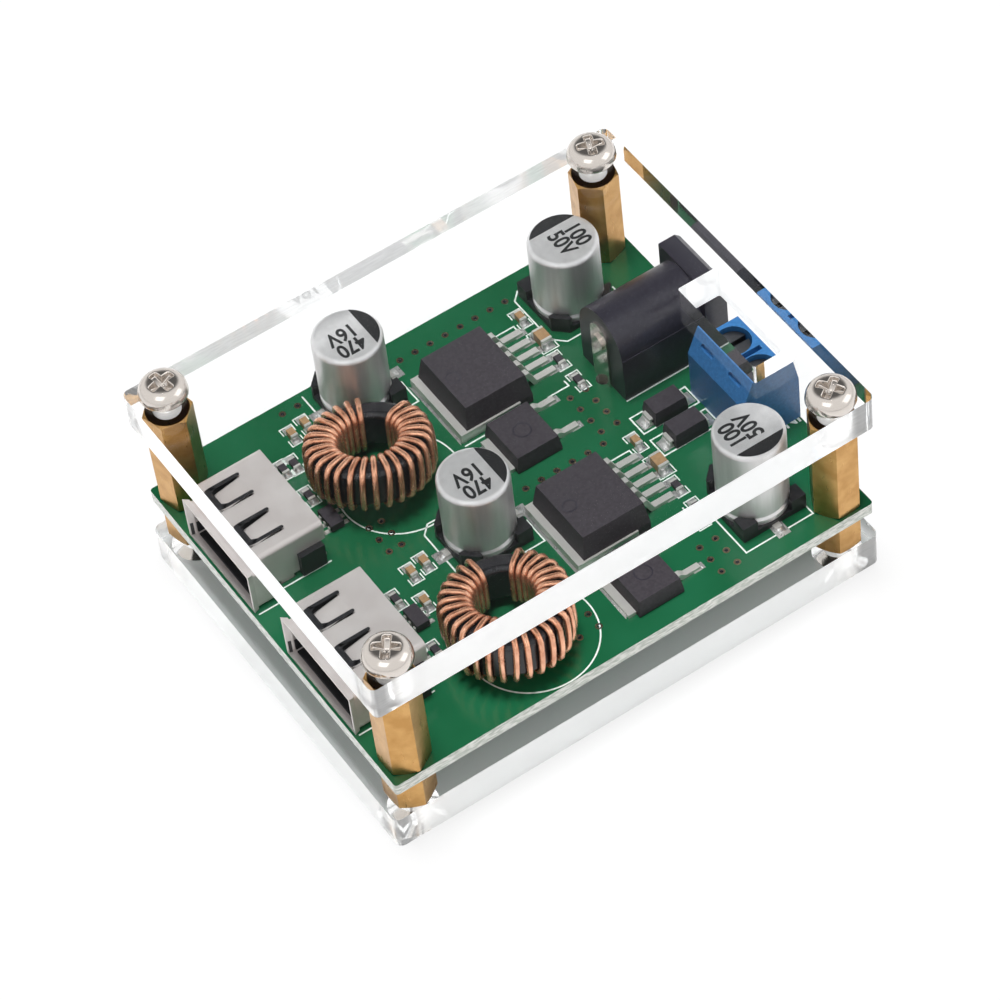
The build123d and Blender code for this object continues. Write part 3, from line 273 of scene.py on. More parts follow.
def solder_mask():
    """Green mask over copper on the faces, bare glass fibre at the cut edges."""
    s = Shader("solder_mask", (0.008, 0.098, 0.037), 0.16)
    s.set("Specular IOR Level", 0.45)
    pour = s.ramp(s.noise(90, 2.0), (0.008, 0.092, 0.036), (0.012, 0.116, 0.050))
    weave = s.noise(2600, 1.0, (1, 0.2, 1))
    edge = s.ramp(s.noise(1100, 3.0, (1, 1, 5)), (0.50, 0.54, 0.48), (0.86, 0.87, 0.82), 0.4, 0.6)
    s.color(s.mix(s.facing_up(), edge, pour))
    s.rough(s.range(weave, 0.12, 0.20))
    s.bump(weave, 0.003 * MM, 0.3)
    return s.material


def metal(name, color, low, high, grain=1500, depth=0.004, stretch=(1, 1, 1), metallic=1.0):
    """A metal with fine grain; below 1, metallic leaves part of it matt, as plating and oxide do."""
    s = Shader(name, color, (low + high) / 2, metallic)
    fine = s.noise(grain, 3.0, stretch)
    s.rough(s.range(fine, low, high))
    s.bump(fine, depth * MM, 0.5)
    return s


def brass():
    s = metal("brass", (0.65, 0.38, 0.13), 0.24, 0.34, 2200, 0.002, (1, 1, 0.15))
    s.color(s.ramp(s.noise(500, 3.0), (0.46, 0.245, 0.076), (0.58, 0.335, 0.122)))
    return s.material


def socket_steel():
    s = metal("socket_steel", (0.66, 0.61, 0.60), 0.36, 0.50, 1800, 0.002, (0.1, 1, 1), 0.45)
    s.color(s.ramp(s.noise(260, 4.0), (0.62, 0.57, 0.555), (0.70, 0.655, 0.64)))
    return s.material


def copper_wire():
    s = metal("copper_wire", (0.72, 0.30, 0.14), 0.20, 0.32, 900, 0.003, metallic=0.75)
    s.color(s.ramp(s.noise(700, 2.0), (0.60, 0.26, 0.145), (0.88, 0.46, 0.29)))
    s.set("Coat Weight", 0.6)
    s.set("Coat Roughness", 0.06)
    return s.material


def can_aluminium():
    s = metal("can_aluminium", (0.62, 0.61, 0.615), 0.36, 0.50, 3200, 0.003, (1, 1, 0.04), 0.68)
    brushed = s.noise(1200, 3.0, (1, 1, 0.1))
    side = s.ramp(brushed, (0.70, 0.68, 0.685), (0.80, 0.78, 0.785))
    lid = s.ramp(brushed, (0.76, 0.75, 0.755), (0.84, 0.83, 0.835))
    s.color(s.mix(s.facing_up(), side, lid))
    return s.material


def plastic(name, color, low, high, grain, depth, shine=0.5):
    """Moulded plastic with a fine grain."""
    s = Shader(name, color, (low + high) / 2)
    fine = s.noise(grain, 3.0)
    light = tuple(min(1, c * 1.25 + 0.004) for c in color)
    s.set("Specular IOR Level", shine)
    s.color(s.ramp(fine, color, light))
    s.rough(s.range(fine, low, high))
    s.bump(fine, depth * MM, 0.5)
    return s.material


def white_floor():
    """A white studio floor that reads white to the camera and still takes a soft shadow."""
    s = Shader("studio_floor", (0.86, 0.86, 0.86), 0.9)
    s.color(s.ramp(s.noise(3, 2.0), (0.855, 0.855, 0.86), (0.865, 0.865, 0.865)))
    glow = s.node("ShaderNodeEmission")
    glow.inputs["Strength"].default_value = 1.0
    path = s.node("ShaderNodeLightPath")
    direct = s.math("MULTIPLY", path.outputs["Is Camera Ray"], FLOOR_GLOW)
    through = s.math("MULTIPLY", path.outputs["Is Transmission Ray"], FLOOR_GLOW_THROUGH)
    seen = s.math("MAXIMUM", direct, through)
    s.link(s.shaders(seen, s.bsdf.outputs["BSDF"], glow.outputs["Emission"]), s.out.inputs["Surface"])
    return s.material


def silk_ink():
    s = Shader("silk_ink", (0.80, 0.84, 0.80), 0.55)
    s.color(s.ramp(s.noise(3000, 2.0), (0.62, 0.70, 0.64), (0.84, 0.87, 0.84)))
    return s.material


MATERIALS = {
    "clear_acrylic": clear_acrylic(),
    "solder_mask": solder_mask(),
    "brass": brass(),
    "nickel_plate": metal("nickel_plate", (0.66, 0.61, 0.565), 0.10, 0.24, metallic=0.94).material,
    "socket_steel": socket_steel(),
    "black_plastic": plastic("black_plastic", (0.012, 0.012, 0.014), 0.38, 0.55, 2500, 0.006),
    "black_gloss": plastic("black_gloss", (0.022, 0.020, 0.029), 0.30, 0.36, 2500, 0.001),
    "blue_plastic": plastic("blue_plastic", (0.030, 0.135, 0.33), 0.30, 0.42, 2500, 0.002),
    "black_epoxy": plastic("black_epoxy", (0.040, 0.035, 0.041), 0.50, 0.66, 3000, 0.004, 0.3),
    "gold_contacts": metal("gold_contacts", (0.83, 0.62, 0.24), 0.18, 0.28).material,
    "tinned_metal": metal("tinned_metal", (0.76, 0.745, 0.71), 0.32, 0.48, 1200, metallic=0.6).material,
    "iron_powder": plastic("iron_powder", (0.008, 0.008, 0.010), 0.16, 0.30, 900, 0.012),
    "copper_wire": copper_wire(),
    "can_aluminium": can_aluminium(),
    "ceramic": plastic("ceramic", (0.30, 0.185, 0.095), 0.38, 0.50, 2500, 0.004),
}
SOLDER = metal("solder", (0.66, 0.66, 0.65), 0.20, 0.36, 700, 0.01, metallic=0.7).material
# Painted shade: a darkened steel for the parts deep in the terminal block, for the shade in its wells
SHADE_DARKENED_STEEL = metal("shade_darkened_steel", (0.12, 0.125, 0.135), 0.30, 0.45).material
PLATED_HOLE = metal("plated_hole", (0.42, 0.33, 0.22), 0.30, 0.45).material
SILK = silk_ink()
INK = plastic("black_ink", (0.012, 0.012, 0.013), 0.35, 0.5, 3000, 0.002)


def dress_nodes():
    """The record's finishes on the CAD nodes; the screws and clamps deep in the terminal block get a
    darkened steel instead, painted shade for the shade in its wells.
    """
    slots = {part["node"]: part["material_slot"] for part in frame["record"]["subparts"]}
    for name, node in frame["nodes"].items():
        node.data.materials.clear()
        shaded = name.startswith(("terminal_screw", "terminal_clamp"))
        node.data.materials.append(SHADE_DARKENED_STEEL if shaded else MATERIALS[slots[name]])


def piece(name, mesh, material, body="module"):
    """Links a new object that rides on a body and has the material it is given."""
    made = bpy.data.objects.new(name, mesh)
    bpy.context.scene.collection.objects.link(made)
    made.data.materials.append(material)
    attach(made, body)
    return made


# Printed lines on the board


class Sheet:
    """A mesh of thin flat shapes that lie on one level."""

    def __init__(self, level, thickness):
        self.bm = bmesh.new()
        self.low = level
        self.high = level + thickness

    def prism(self, outline):
        """A closed flat shape from points (x, y) in millimetres."""
        top = [self.bm.verts.new((x * MM, y * MM, self.high)) for x, y in outline]
        bottom = [self.bm.verts.new((x * MM, y * MM, self.low)) for x, y in outline]
        self.bm.faces.new(top)
        for i in range(len(top)):
            j = (i + 1) % len(top)
            self.bm.faces.new((top[i], bottom[i], bottom[j], top[j]))

    def line(self, points, width=SILK_WIDTH, closed=False):
        """A line of even width with mitred corners."""
        count = len(points)
        left = []
        right = []
        for i, (x, y) in enumerate(points):
            before = points[i - 1] if i or closed else None
            after = points[(i + 1) % count] if i < count - 1 or closed else None
            normals = []
            for a, b in ((before, (x, y)), ((x, y), after)):
                if a is not None and b is not None:
                    run = Vector((b[0] - a[0], b[1] - a[1])).normalized()
                    normals.append(Vector((-run.y, run.x)))
            normal = sum(normals, Vector((0, 0))).normalized()
            reach = width / 2 / max(0.4, normal.dot(normals[0]))
            left.append((x + normal.x * reach, y + normal.y * reach))
            right.append((x - normal.x * reach, y - normal.y * reach))
        for i in range(count if closed else count - 1):
            j = (i + 1) % count
            self.prism((left[i], right[i], right[j], left[j]))

    def box(self, x, y, width=SILK_WIDTH):
        self.line([(x[0], y[0]), (x[1], y[0]), (x[1], y[1]), (x[0], y[1])], width, closed=True)

    def pad(self, x, y, length, width):
        corners = ((-1, -1), (1, -1), (1, 1), (-1, 1))
        self.prism([(x + i * length / 2, y + j * width / 2) for i, j in corners])

    def circle(self, x, y, radius, width=SILK_WIDTH, steps=96):
        angles = [2 * math.pi * i / steps for i in range(steps)]
        points = [(x + radius * math.cos(a), y + radius * math.sin(a)) for a in angles]
        self.line(points, width, closed=True)

    def mesh(self, name):
        mesh = bpy.data.meshes.new(name)
        bmesh.ops.recalc_face_normals(self.bm, faces=self.bm.faces)
        self.bm.to_mesh(mesh)
        self.bm.free()
        return mesh


# All in millimetres. Circles: x, y and radius. Boxes: x range and y range.
COIL_CIRCLES = ((-9.15, 7.32, 7.08), (-8.75, -17.7, 7.37))
INLET_DIODE_BOXES = (((16.05, 23.5), (-3.43, -0.65)), ((16.05, 23.5), (-7.35, -4.6)))
INPUT_CAPACITOR_OUTLINE = ((16.1, -22.4), (16.1, -15.8), (17.4, -14.5), (25.0, -14.5), (25.0, -22.4))
OPEN_LINES = (
    ((17.2, 1.6), (28.3, 1.6), (28.3, 10.2)),
    ((-30.5, 2.85), (-20.9, 2.85)),
    ((-30.5, -17.28), (-20.9, -17.28)),
    ((-11.1, 24.5), (-11.1, 17.3), (-9.7, 15.9), (-1.1, 15.9), (-1.1, 19.5)))
# Outlines that occur twice: the points that they are measured from, and their lines
CAPACITOR_ORIGINS = ((-6.0, -4.05), (20.6, 17.9))
CAPACITOR_LINES = (
    ((-5.0, 3.6), (-5.0, -3.6), (-3.6, -5.0), (5.0, -5.0), (5.0, -1.4)),
    ((-5.0, 3.6), (-3.9, 4.7), (2.0, 4.7)))
REGULATOR_ORIGINS = ((0, 12.95), (0, -9.85))
REGULATOR_LINES = (
    ((9.6, 5.5), (13.4, 5.5), (13.4, 4.4)),
    ((-0.6, -5.7), (4.2, -5.7)),
    ((10.6, -5.5), (13.4, -5.5), (13.4, -4.6)))
# Middles of the chip parts that have brackets round them, and the larger brackets' size
SMALL_CHIPS = (
    (14.6, 18.9), (14.6, -3.9), (-13.0, 20.8), (-15.0, 20.4), (-13.1, -3.6), (-15.0, -4.0),
    (-16.0, -8.2), (14.6, 11.15), (14.65, 7.35), (14.6, -11.65), (14.65, -15.45), (-18.1, 11.9),
    (-18.3, -6.0), (-18.4, 16.8), (-17.0, 16.7), (-20.0, -14.2), (-18.6, -14.3))
LARGE_CHIPS = ((14.8, 14.7), (14.8, -8.1))
LARGE_CHIP_FRAME = (2.1, 3.5)
INLET_WORD_PLACE = (29.9, -11.7)
INLET_WORD_SIZE = 2.0
INLET_WORD_WEIGHT = 0.04


def board_print():
    """White outlines around the parts, and the word at the inlet."""
    s = Sheet(BOARD_TOP, SILK_HEIGHT)
    for circle in COIL_CIRCLES:
        s.circle(*circle)
    for box in INLET_DIODE_BOXES:
        s.box(*box)
    s.line(INPUT_CAPACITOR_OUTLINE, closed=True)
    for line in OPEN_LINES:
        s.line(line)
    for origins, lines in (
            (CAPACITOR_ORIGINS, CAPACITOR_LINES), (REGULATOR_ORIGINS, REGULATOR_LINES)):
        for x, y in origins:
            for line in lines:
                s.line([(x + dx, y + dy) for dx, dy in line])
    for x, y in SMALL_CHIPS:
        two_brackets(s, x, y)
    for x, y in LARGE_CHIPS:
        two_brackets(s, x, y, *LARGE_CHIP_FRAME)
    piece("board_print", s.mesh("board_print"), SILK)
    words = words_mesh("inlet_word", "IN", INLET_WORD_SIZE, INLET_WORD_WEIGHT)
    x, y = INLET_WORD_PLACE
    words.transform(Matrix.Translation((x * MM, y * MM, BOARD_TOP + SILK_HEIGHT / 2))
                    @ Matrix.Rotation(math.pi, 4, "Z"))
    piece("inlet_word", words, SILK)


def two_brackets(s, x, y, width=1.55, length=2.9, gap=0.9, line=0.14):
    """The two U shapes printed round a chip part's pads."""
    for side in (-1, 1):
        s.line([
            (x - width / 2, y + side * gap / 2), (x - width / 2, y + side * length / 2),
            (x + width / 2, y + side * length / 2), (x + width / 2, y + side * gap / 2)], line)


# Loose solids of a node


def islands(node):
    """The lowest and highest corner of each separate solid of a CAD node, in millimetres."""
    bm = bmesh.new()
    bm.from_mesh(frame["nodes"][node].data)
    bmesh.ops.remove_doubles(bm, verts=bm.verts, dist=1e-6)
    boxes = []
    left = set(bm.verts)
    while left:
        stack = [left.pop()]
        found = []
        while stack:
            vert = stack.pop()
            found.append(vert.co / MM)
            for edge in vert.link_edges:
                other = edge.other_vert(vert)
                if other in left:
                    left.remove(other)
                    stack.append(other)
        low = Vector((min(co[i] for co in found) for i in range(3)))
        high = Vector((max(co[i] for co in found) for i in range(3)))
        boxes.append((low, high))
    bm.free()
    return sorted(boxes, key=lambda box: tuple(box[0]))


LEAD_SHOWS = 0.3 * MM
LEAD_APART = 0.6


def through_leads(node):
    """Where a node's leads stick out under the board: centre and half size of each, in millimetres."""
    vertices = frame["nodes"][node].data.vertices
    points = [v.co / MM for v in vertices if v.co.z < BOARD_BOTTOM - LEAD_SHOWS]
    clusters = []
    for point in points:
        near = next((c for c in clusters if any((point.xy - q.xy).length < LEAD_APART for q in c)), None)
        if near is None:
            clusters.append([point])
        else:
            near.append(point)
    leads = []
    for cluster in clusters:
        xs = [q.x for q in cluster]
        ys = [q.y for q in cluster]
        center = ((min(xs) + max(xs)) / 2, (min(ys) + max(ys)) / 2)
        leads.append((center, max(max(xs) - min(xs), max(ys) - min(ys)) / 2))
    return leads


# Solder


class Solder:
    """A mesh of solder fillets and joints, in millimetres above the board."""

    def __init__(self):
        self.bm = bmesh.new()
        self.top = BOARD_TOP / MM

    def wedge(self, x, y, out, width, reach, height, steps=6):
        """A hollow-faced fillet from an end face outwards; out is the unit direction."""
        across = (-out[1], out[0])
        rows = []
        for i in range(steps + 1):
            t = i / steps
            half = width / 2 * (1 + 0.12 * t)
            rise = height * (1 - t) ** 2.2 + 0.03
            px = x + out[0] * reach * t
            py = y + out[1] * reach * t
            for level in (0.0, rise):
                rows.append([
                    self.bm.verts.new((
                        (px + across[0] * s * half) * MM, (py + across[1] * s * half) * MM,
                        (self.top + level) * MM)) for s in (-1, 1)])
        for i in range(steps):
            low_a, high_a, low_b, high_b = rows[2 * i: 2 * i + 4]
            self.bm.faces.new((high_a[0], high_b[0], high_b[1], high_a[1]))
            for side in (0, 1):
                self.bm.faces.new((low_a[side], low_b[side], high_b[side], high_a[side]))
        self.bm.faces.new((rows[0][0], rows[1][0], rows[1][1], rows[0][1]))
        self.bm.faces.new((rows[-2][0], rows[-1][0], rows[-1][1], rows[-2][1]))

    def joint(self, x, y, radius, level, height, spread=0.55, steps=20):
        """A joint round a through lead, wide at the board and drawn up (or down) along the lead."""
        profile = [(0, 1.0), (radius * 0.8, 1.0), (radius + 0.06, 0.9), (radius + 0.14, 0.55),
                   (radius + 0.3, 0.2), (radius + spread, 0.0)]
        rings = []
        for r, t in profile:
            rings.append([
                self.bm.verts.new((
                    (x + r * math.cos(2 * math.pi * i / steps)) * MM,
                    (y + r * math.sin(2 * math.pi * i / steps)) * MM, (level + height * t) * MM))
                for i in range(steps)])
        for inner, outer in zip(rings, rings[1:]):
            for i in range(steps):
                j = (i + 1) % steps
                self.bm.faces.new((inner[i], outer[i], outer[j], inner[j]))

    def mesh(self, name):
        bmesh.ops.remove_doubles(self.bm, verts=self.bm.verts, dist=1e-7)
        bmesh.ops.recalc_face_normals(self.bm, faces=self.bm.faces)
        mesh = bpy.data.meshes.new(name)
        self.bm.to_mesh(mesh)
        self.bm.free()
        for face in mesh.polygons:
            face.use_smooth = True
        return mesh


POWER_PACKAGES = ("output_diode_1", "output_diode_2", "regulator_1", "regulator_2")
# In millimetres. Fillets: reach and height; a chip's height is a part of its end cap's.
CHIP_FILLET = (0.42, 0.62)
LEAD_FILLET = (0.35, 0.28)
TAB_FILLET = (0.25, 0.15)
DIODE_FILLET = (0.7, 0.6)
CAPACITOR_FILLET = (0.6, 0.25)
# Pads: length along the lead, and how much wider they are than it
CHIP_PAD = 0.95
CHIP_MARGIN = 0.25
LEAD_PAD = 1.5
DIODE_PAD = 1.6
LEAD_MARGIN = 0.2
CAPACITOR_PAD = (1.8, 1.6)
CHARGE_CHIP_PAD = (0.9, 0.55)
INLET_DIODE_MIDDLE = 19
# Joints round through leads: height, and spread where it isn't the usual
UNDER_JOINT = -0.95
COIL_JOINT = (0.4, 0.45)


def chip_ends(s, pads):
    """A pad and a fillet at the outer face of each chip end."""
    ends = islands("chip_end_caps")
    for i, (low, high) in enumerate(ends):
        x = (low.x + high.x) / 2
        partner = min(
            (e for j, e in enumerate(ends) if j != i and abs(e[0].x - low.x) < 0.01),
            key=lambda e: abs(e[0].y - low.y))
        side = -1 if low.y < partner[0].y else 1
        y = low.y if side < 0 else high.y
        width = high.x - low.x
        reach, rise = CHIP_FILLET
        s.wedge(x, y, (0, side), width, reach, rise * (high.z - low.z))
        pads.pad(x, y + side * 0.1, width + CHIP_MARGIN, CHIP_PAD)


def package_feet(s, pads):
    """The same at the leads of the power packages and at the two small diodes; the packages' tabs get a
    fillet only.
    """
    for package in POWER_PACKAGES:
        for low, high in islands(f"{package}_leads"):
            y = (low.y + high.y) / 2
            s.wedge(high.x, y, (1, 0), high.y - low.y, *LEAD_FILLET)
            pads.pad(high.x - 0.15, y, LEAD_PAD, high.y - low.y + LEAD_MARGIN)
    for package in POWER_PACKAGES:
        low, high = islands(f"{package}_tab")[0]
        y = (low.y + high.y) / 2
        s.wedge(low.x, y, (-1, 0), high.y - low.y - 0.8, *TAB_FILLET)
    for low, high in islands("inlet_diode_leads"):
        side = -1 if low.x < INLET_DIODE_MIDDLE else 1
        x = low.x if side < 0 else high.x
        y = (low.y + high.y) / 2
        s.wedge(x, y, (side, 0), high.y - low.y, *DIODE_FILLET)
        pads.pad(x + side * 0.1, y, DIODE_PAD, high.y - low.y + LEAD_MARGIN)


def capacitor_feet(s, pads):
    """The same where each capacitor's two leads come out from under its base."""
    for name in CAPACITORS:
        can_low, can_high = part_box(f"{name}_can")
        for low, high in islands(f"{name}_leads"):
            middle = (low + high) / 2
            away = middle - (can_low + can_high) / 2 / MM
            if abs(away.x) > abs(away.y):
                out = (math.copysign(1, away.x), 0)
                foot = (high.x if out[0] > 0 else low.x, middle.y)
                size = CAPACITOR_PAD
            else:
                out = (0, math.copysign(1, away.y))
                foot = (middle.x, high.y if out[1] > 0 else low.y)
                size = CAPACITOR_PAD[::-1]
            s.wedge(*foot, out, 1.0, *CAPACITOR_FILLET)
            pads.pad(foot[0] + out[0] * 0.2, foot[1] + out[1] * 0.2, *size)


def top_solder():
    """Pads and fillets of everything that is soldered to the board's top."""
    s = Solder()
    pads = Sheet(BOARD_TOP, PAD_HEIGHT)
    chip_ends(s, pads)
    package_feet(s, pads)
    capacitor_feet(s, pads)
    for low, high in islands("charge_chip_leads"):
        pads.pad((low.x + high.x) / 2, (low.y + high.y) / 2, *CHARGE_CHIP_PAD)
    piece("top_solder", s.mesh("top_solder"), SOLDER)
    piece("solder_pads", pads.mesh("solder_pads"), SOLDER)


def under_solder():
    """Joints round the leads that come through the board: below it, and above it at the coils."""
    s = Solder()
    nodes = ["dc_inlet_rear_terminal", "dc_inlet_sleeve_spring", "terminal_pins"]
    for number in (1, 2):
        nodes += [
            f"usb_socket_{number}_contacts", f"usb_socket_{number}_shell",
            f"coil_{number}_winding"]
    for node in nodes:
        for (x, y), half in through_leads(node):
            s.joint(x, y, half, BOARD_BOTTOM / MM, UNDER_JOINT)
    for number in (1, 2):
        for (x, y), half in through_leads(f"coil_{number}_winding"):
            s.joint(x, y, half, BOARD_TOP / MM, *COIL_JOINT)
    piece("under_solder", s.mesh("under_solder"), SOLDER)


# Coil windings

# All in millimetres. A loop's half sizes are across and up; its corner is the wire's bend there.
COILS = {
    1: {"center": (-10.95, 9.74), "tilt_deg": (-10.8, 4.4), "gap_deg": 45},
    2: {"center": (-10.95, -17.0), "tilt_deg": (-9.0, 2.0), "gap_deg": 69}}
COIL_GAP_DEG = 38
TURNS = 27
TURN_STEPS = 28
WIRE_RADIUS = 0.345
WIRE_SWAY = 0.022
COIL_HALF_HEIGHT = 3.0
COIL_EDGE = 6.25
COIL_CLEARANCE = 0.05
LOOP_RADIUS = 5.25
LOOP_HALF = (1.70, 2.65)
LOOP_CORNER = 1.12
LOOP_BULGE = 0.10
LEAD_TIP = 8.0


def loop_point(t):
    """A point of one turn, a rounded rectangle with bulging sides, from the outer side upwards."""
    wide, high = LOOP_HALF
    bend = math.pi / 2 * LOOP_CORNER
    runs = (2 * (high - LOOP_CORNER), bend, 2 * (wide - LOOP_CORNER), bend)
    along = (t % 1.0) * 2 * sum(runs)
    turned = 0
    for run in runs + runs:
        if along <= run:
            break
        along -= run
        turned += 1
    side, corner = divmod(turned % 8, 2)
    ahead = ((0, 1), (-1, 0), (0, -1), (1, 0))[side]
    out = ((1, 0), (0, 1), (-1, 0), (0, -1))[side]
    flat = (high, wide)[side % 2] - LOOP_CORNER
    reach = (wide, high)[side % 2]
    if corner:
        angle = along / LOOP_CORNER
        forward = flat + LOOP_CORNER * math.sin(angle)
        outward = reach - LOOP_CORNER * (1 - math.cos(angle))
    else:
        forward = along - flat
        outward = reach + LOOP_BULGE * (1 - (forward / (flat + 0.01)) ** 2) * (side == 0)
    return forward * ahead[0] + outward * out[0], forward * ahead[1] + outward * out[1]


def tube(name, points, radius, sides=10):
    """A round tube along points in millimetres, closed at both ends."""
    bm = bmesh.new()
    side = Vector((1, 0, 0))
    corners = [2 * math.pi * k / sides for k in range(sides)]
    rings = []
    for i, point in enumerate(points):
        ahead = (points[min(i + 1, len(points) - 1)] - points[max(i - 1, 0)]).normalized()
        side = (side - ahead * side.dot(ahead)).normalized()
        across = ahead.cross(side)
        rings.append([
            bm.verts.new((point + radius * (side * math.cos(a) + across * math.sin(a))) * MM)
            for a in corners])
    for first, second in zip(rings, rings[1:]):
        for k in range(sides):
            j = (k + 1) % sides
            bm.faces.new((first[k], second[k], second[j], first[j]))
    bm.faces.new(rings[0])
    bm.faces.new(reversed(rings[-1]))
    bmesh.ops.recalc_face_normals(bm, faces=bm.faces)
    mesh = bpy.data.meshes.new(name)
    bm.to_mesh(mesh)
    bm.free()
    for face in mesh.polygons:
        face.use_smooth = True
    return mesh


def windings():
    """Round enamelled wire, 27 turns round each core, with both ends through the board."""
    for number, coil in COILS.items():
        tilt_x, tilt_y = (math.radians(angle) for angle in coil["tilt_deg"])
        lean = math.hypot(tilt_x, tilt_y)
        level = (BOARD_TOP / MM + COIL_CLEARANCE + COIL_HALF_HEIGHT * math.cos(lean)
                 + COIL_EDGE * math.sin(lean))
        place = (Matrix.Translation((*coil["center"], level)) @ Matrix.Rotation(tilt_y, 4, "Y")
                 @ Matrix.Rotation(tilt_x, 4, "X"))
        span = math.radians(360 - COIL_GAP_DEG)
        start = math.radians(coil["gap_deg"] + COIL_GAP_DEG / 2)
        points = []
        for step in range(TURNS * TURN_STEPS + 1):
            t = step / TURN_STEPS
            radial, height = loop_point(t)
            sway = WIRE_SWAY * math.sin(2.4 * int(t) + number) * max(0.0, radial) / LOOP_HALF[0]
            angle = start + span * t / TURNS + sway * math.sin(math.pi * (t % 1.0))
            radius = LOOP_RADIUS + radial
            points.append(
                place @ Vector((radius * math.cos(angle), radius * math.sin(angle), height)))
        for end in (0, -1):
            foot = Vector((points[end].x, points[end].y, LEAD_TIP))
            above = foot.lerp(points[end], 0.8)
            if end:
                points += [above, foot]
            else:
                points = [foot, above] + points
        made = piece(
            f"coil_{number}_turns", tube(f"coil_{number}_turns", points, WIRE_RADIUS),
            MATERIALS["copper_wire"])
        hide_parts(f"coil_{number}_winding")


# USB sockets

# All in millimetres
SHELL_WIDTH = 13.1
SPRING_SETBACK = 2.1
SPRING_LENGTH = 3.9
SPRING_WIDTH = 2.6
SPRING_PITCH = 6.1
SLOT_WIDTH = 0.45
SLOT_SHADE_HEIGHT = 0.015 * MM
SHEET_THICKNESS = 0.3
MOUTH_SHADE_GAP = 0.04
MOUTH_SHADE_HEIGHT = 1.9
MOUTH_SHADE_FLARE = 0.26


def usb_slot_shade(number):
    """Painted shade: dark sheets on a shell's top where the slots beside each finger and across its tip
    are, for the shade in them.
    """
    low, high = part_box(f"usb_socket_{number}_shell")
    middle = (low.y + high.y) / 2 / MM
    start = low.x / MM + SPRING_SETBACK
    root = start + SPRING_LENGTH
    half = SLOT_WIDTH / 2
    wide = SPRING_WIDTH / 2 + SLOT_WIDTH
    tip = (
        (-0.45, wide - 0.5), (-0.2, wide - 0.1), (0.32, wide), (1.0, wide - SLOT_WIDTH),
        (0.35, wide - 0.75))
    mirrored = [(dx, -dy) for dx, dy in reversed(tip)]
    bends = [math.pi * k / 8 for k in range(9)]
    s = Sheet(high.z, SLOT_SHADE_HEIGHT)
    for side in (-1, 1):
        y = middle + side * SPRING_PITCH / 2
        for edge in (-1, 1):
            across = y + edge * (SPRING_WIDTH + SLOT_WIDTH) / 2
            outline = [(start + 0.3, across + half), (start + 0.3, across - half)]
            outline += [(root + half * math.sin(a), across - half * math.cos(a)) for a in bends]
            s.prism(outline)
        s.prism([(start + dx, y + dy) for dx, dy in (*tip, *mirrored)])
    name = f"usb_{number}_slots"
    # Painted shade: these dark sheets stand for the shade in the shell's slots
    piece(name, s.mesh(name), MATERIALS["black_plastic"])


def usb_mouth_shade(number):
    """Painted shade: a dark tray inside a shell, below the tongue, that widens towards the mouth, for
    the shade inside the socket.
    """
    low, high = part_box(f"usb_socket_{number}_shell")
    middle = (low.y + high.y) / 2 / MM
    inset = SHEET_THICKNESS + MOUTH_SHADE_GAP
    half = SHELL_WIDTH / 2 - inset
    base = BOARD_TOP / MM + inset
    roof = base + MOUTH_SHADE_HEIGHT
    front = low.x / MM + 0.9
    back = high.x / MM - 1.2
    bm = bmesh.new()
    rows = []
    for x, wider in ((low.x / MM + 0.1, MOUTH_SHADE_FLARE), (front, 0.0), (back, 0.0)):
        rows.append([bm.verts.new((x * MM, (middle + dy) * MM, z * MM)) for dy, z in (
            (-half - wider, roof), (-half - wider, base - wider),
            (half + wider, base - wider), (half + wider, roof))])
    for first, second in zip(rows, rows[1:]):
        for k in range(3):
            bm.faces.new((first[k], second[k], second[k + 1], first[k + 1]))
    name = f"usb_{number}_liner"
    mesh = bpy.data.meshes.new(name)
    bm.to_mesh(mesh)
    bm.free()
    # Painted shade: this dark tray stands for the shade in the socket's mouth
    piece(name, mesh, MATERIALS["black_plastic"])


# Packages

# In millimetres: the radius of each package's mark and its shift along X, and the ring's size
MOULD_MARKS = {"regulator": (0.8, -2.6), "output_diode": (1.0, 0.0)}
MARK_WIDTH = 0.12
MARK_HEIGHT = 0.008 * MM


def ejector_marks():
    """A shallow round mould mark on top of each power package."""
    for package, (radius, shift) in MOULD_MARKS.items():
        mark_package(f"{package}_1_body", radius, shift)
        mark_package(f"{package}_2_body", radius, shift)


def mark_package(node, radius, shift):
    low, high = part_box(node)
    s = Sheet(high.z, MARK_HEIGHT)
    x = (low.x + high.x) / 2 / MM + shift
    y = (low.y + high.y) / 2 / MM
    s.circle(x, y, radius, MARK_WIDTH, 40)
    piece(f"{node}_mark", s.mesh(f"{node}_mark"), MATERIALS["black_gloss"])


# Screws in the top plate

# In millimetres. The rings that shape a head are closer over the recess and at the rim.
HEAD_RADIUS = 2.8
HEAD_HEIGHT = 2.0
HEAD_RIM = 0.12
HEAD_RINGS = [0.06 * i for i in range(1, 30)] + [
    1.85, 2.0, 2.15, 2.3, 2.42, 2.54, 2.64, 2.72, 2.77, 2.80]
HEAD_STEPS = 96
HEAD_TURNS_DEG = (12, 52, -20, 33)
RECESS_REACH = 1.62
RECESS_HALF_WIDTH = 0.52
RECESS_DEPTH = 1.15
RECESS_RISE = 0.42
WALL_SOFTNESS = 0.22
END_SOFTNESS = 0.25
SHANK_RADIUS = 1.5
THREAD_PITCH = 0.5
THREAD_DEPTH = 0.22
THREAD_LENGTH = 4.8
SMOOTH_ABOVE = 28.0 * MM


def ease(value):
    """A soft step from 0 to 1."""
    value = max(0.0, min(1.0, value))
    return value * value * (3 - 2 * value)


def recess_depth(x, y):
    """Depth of a cross recess with soft walls and rounded lobes."""
    deepest = 0
    for along, across in ((abs(x), abs(y)), (abs(y), abs(x))):
        walls = ease((RECESS_HALF_WIDTH - across) / WALL_SOFTNESS)
        end = ease((RECESS_REACH - along) / END_SOFTNESS)
        deepest = max(deepest, (RECESS_DEPTH - RECESS_RISE * along) * walls * end)
    return deepest


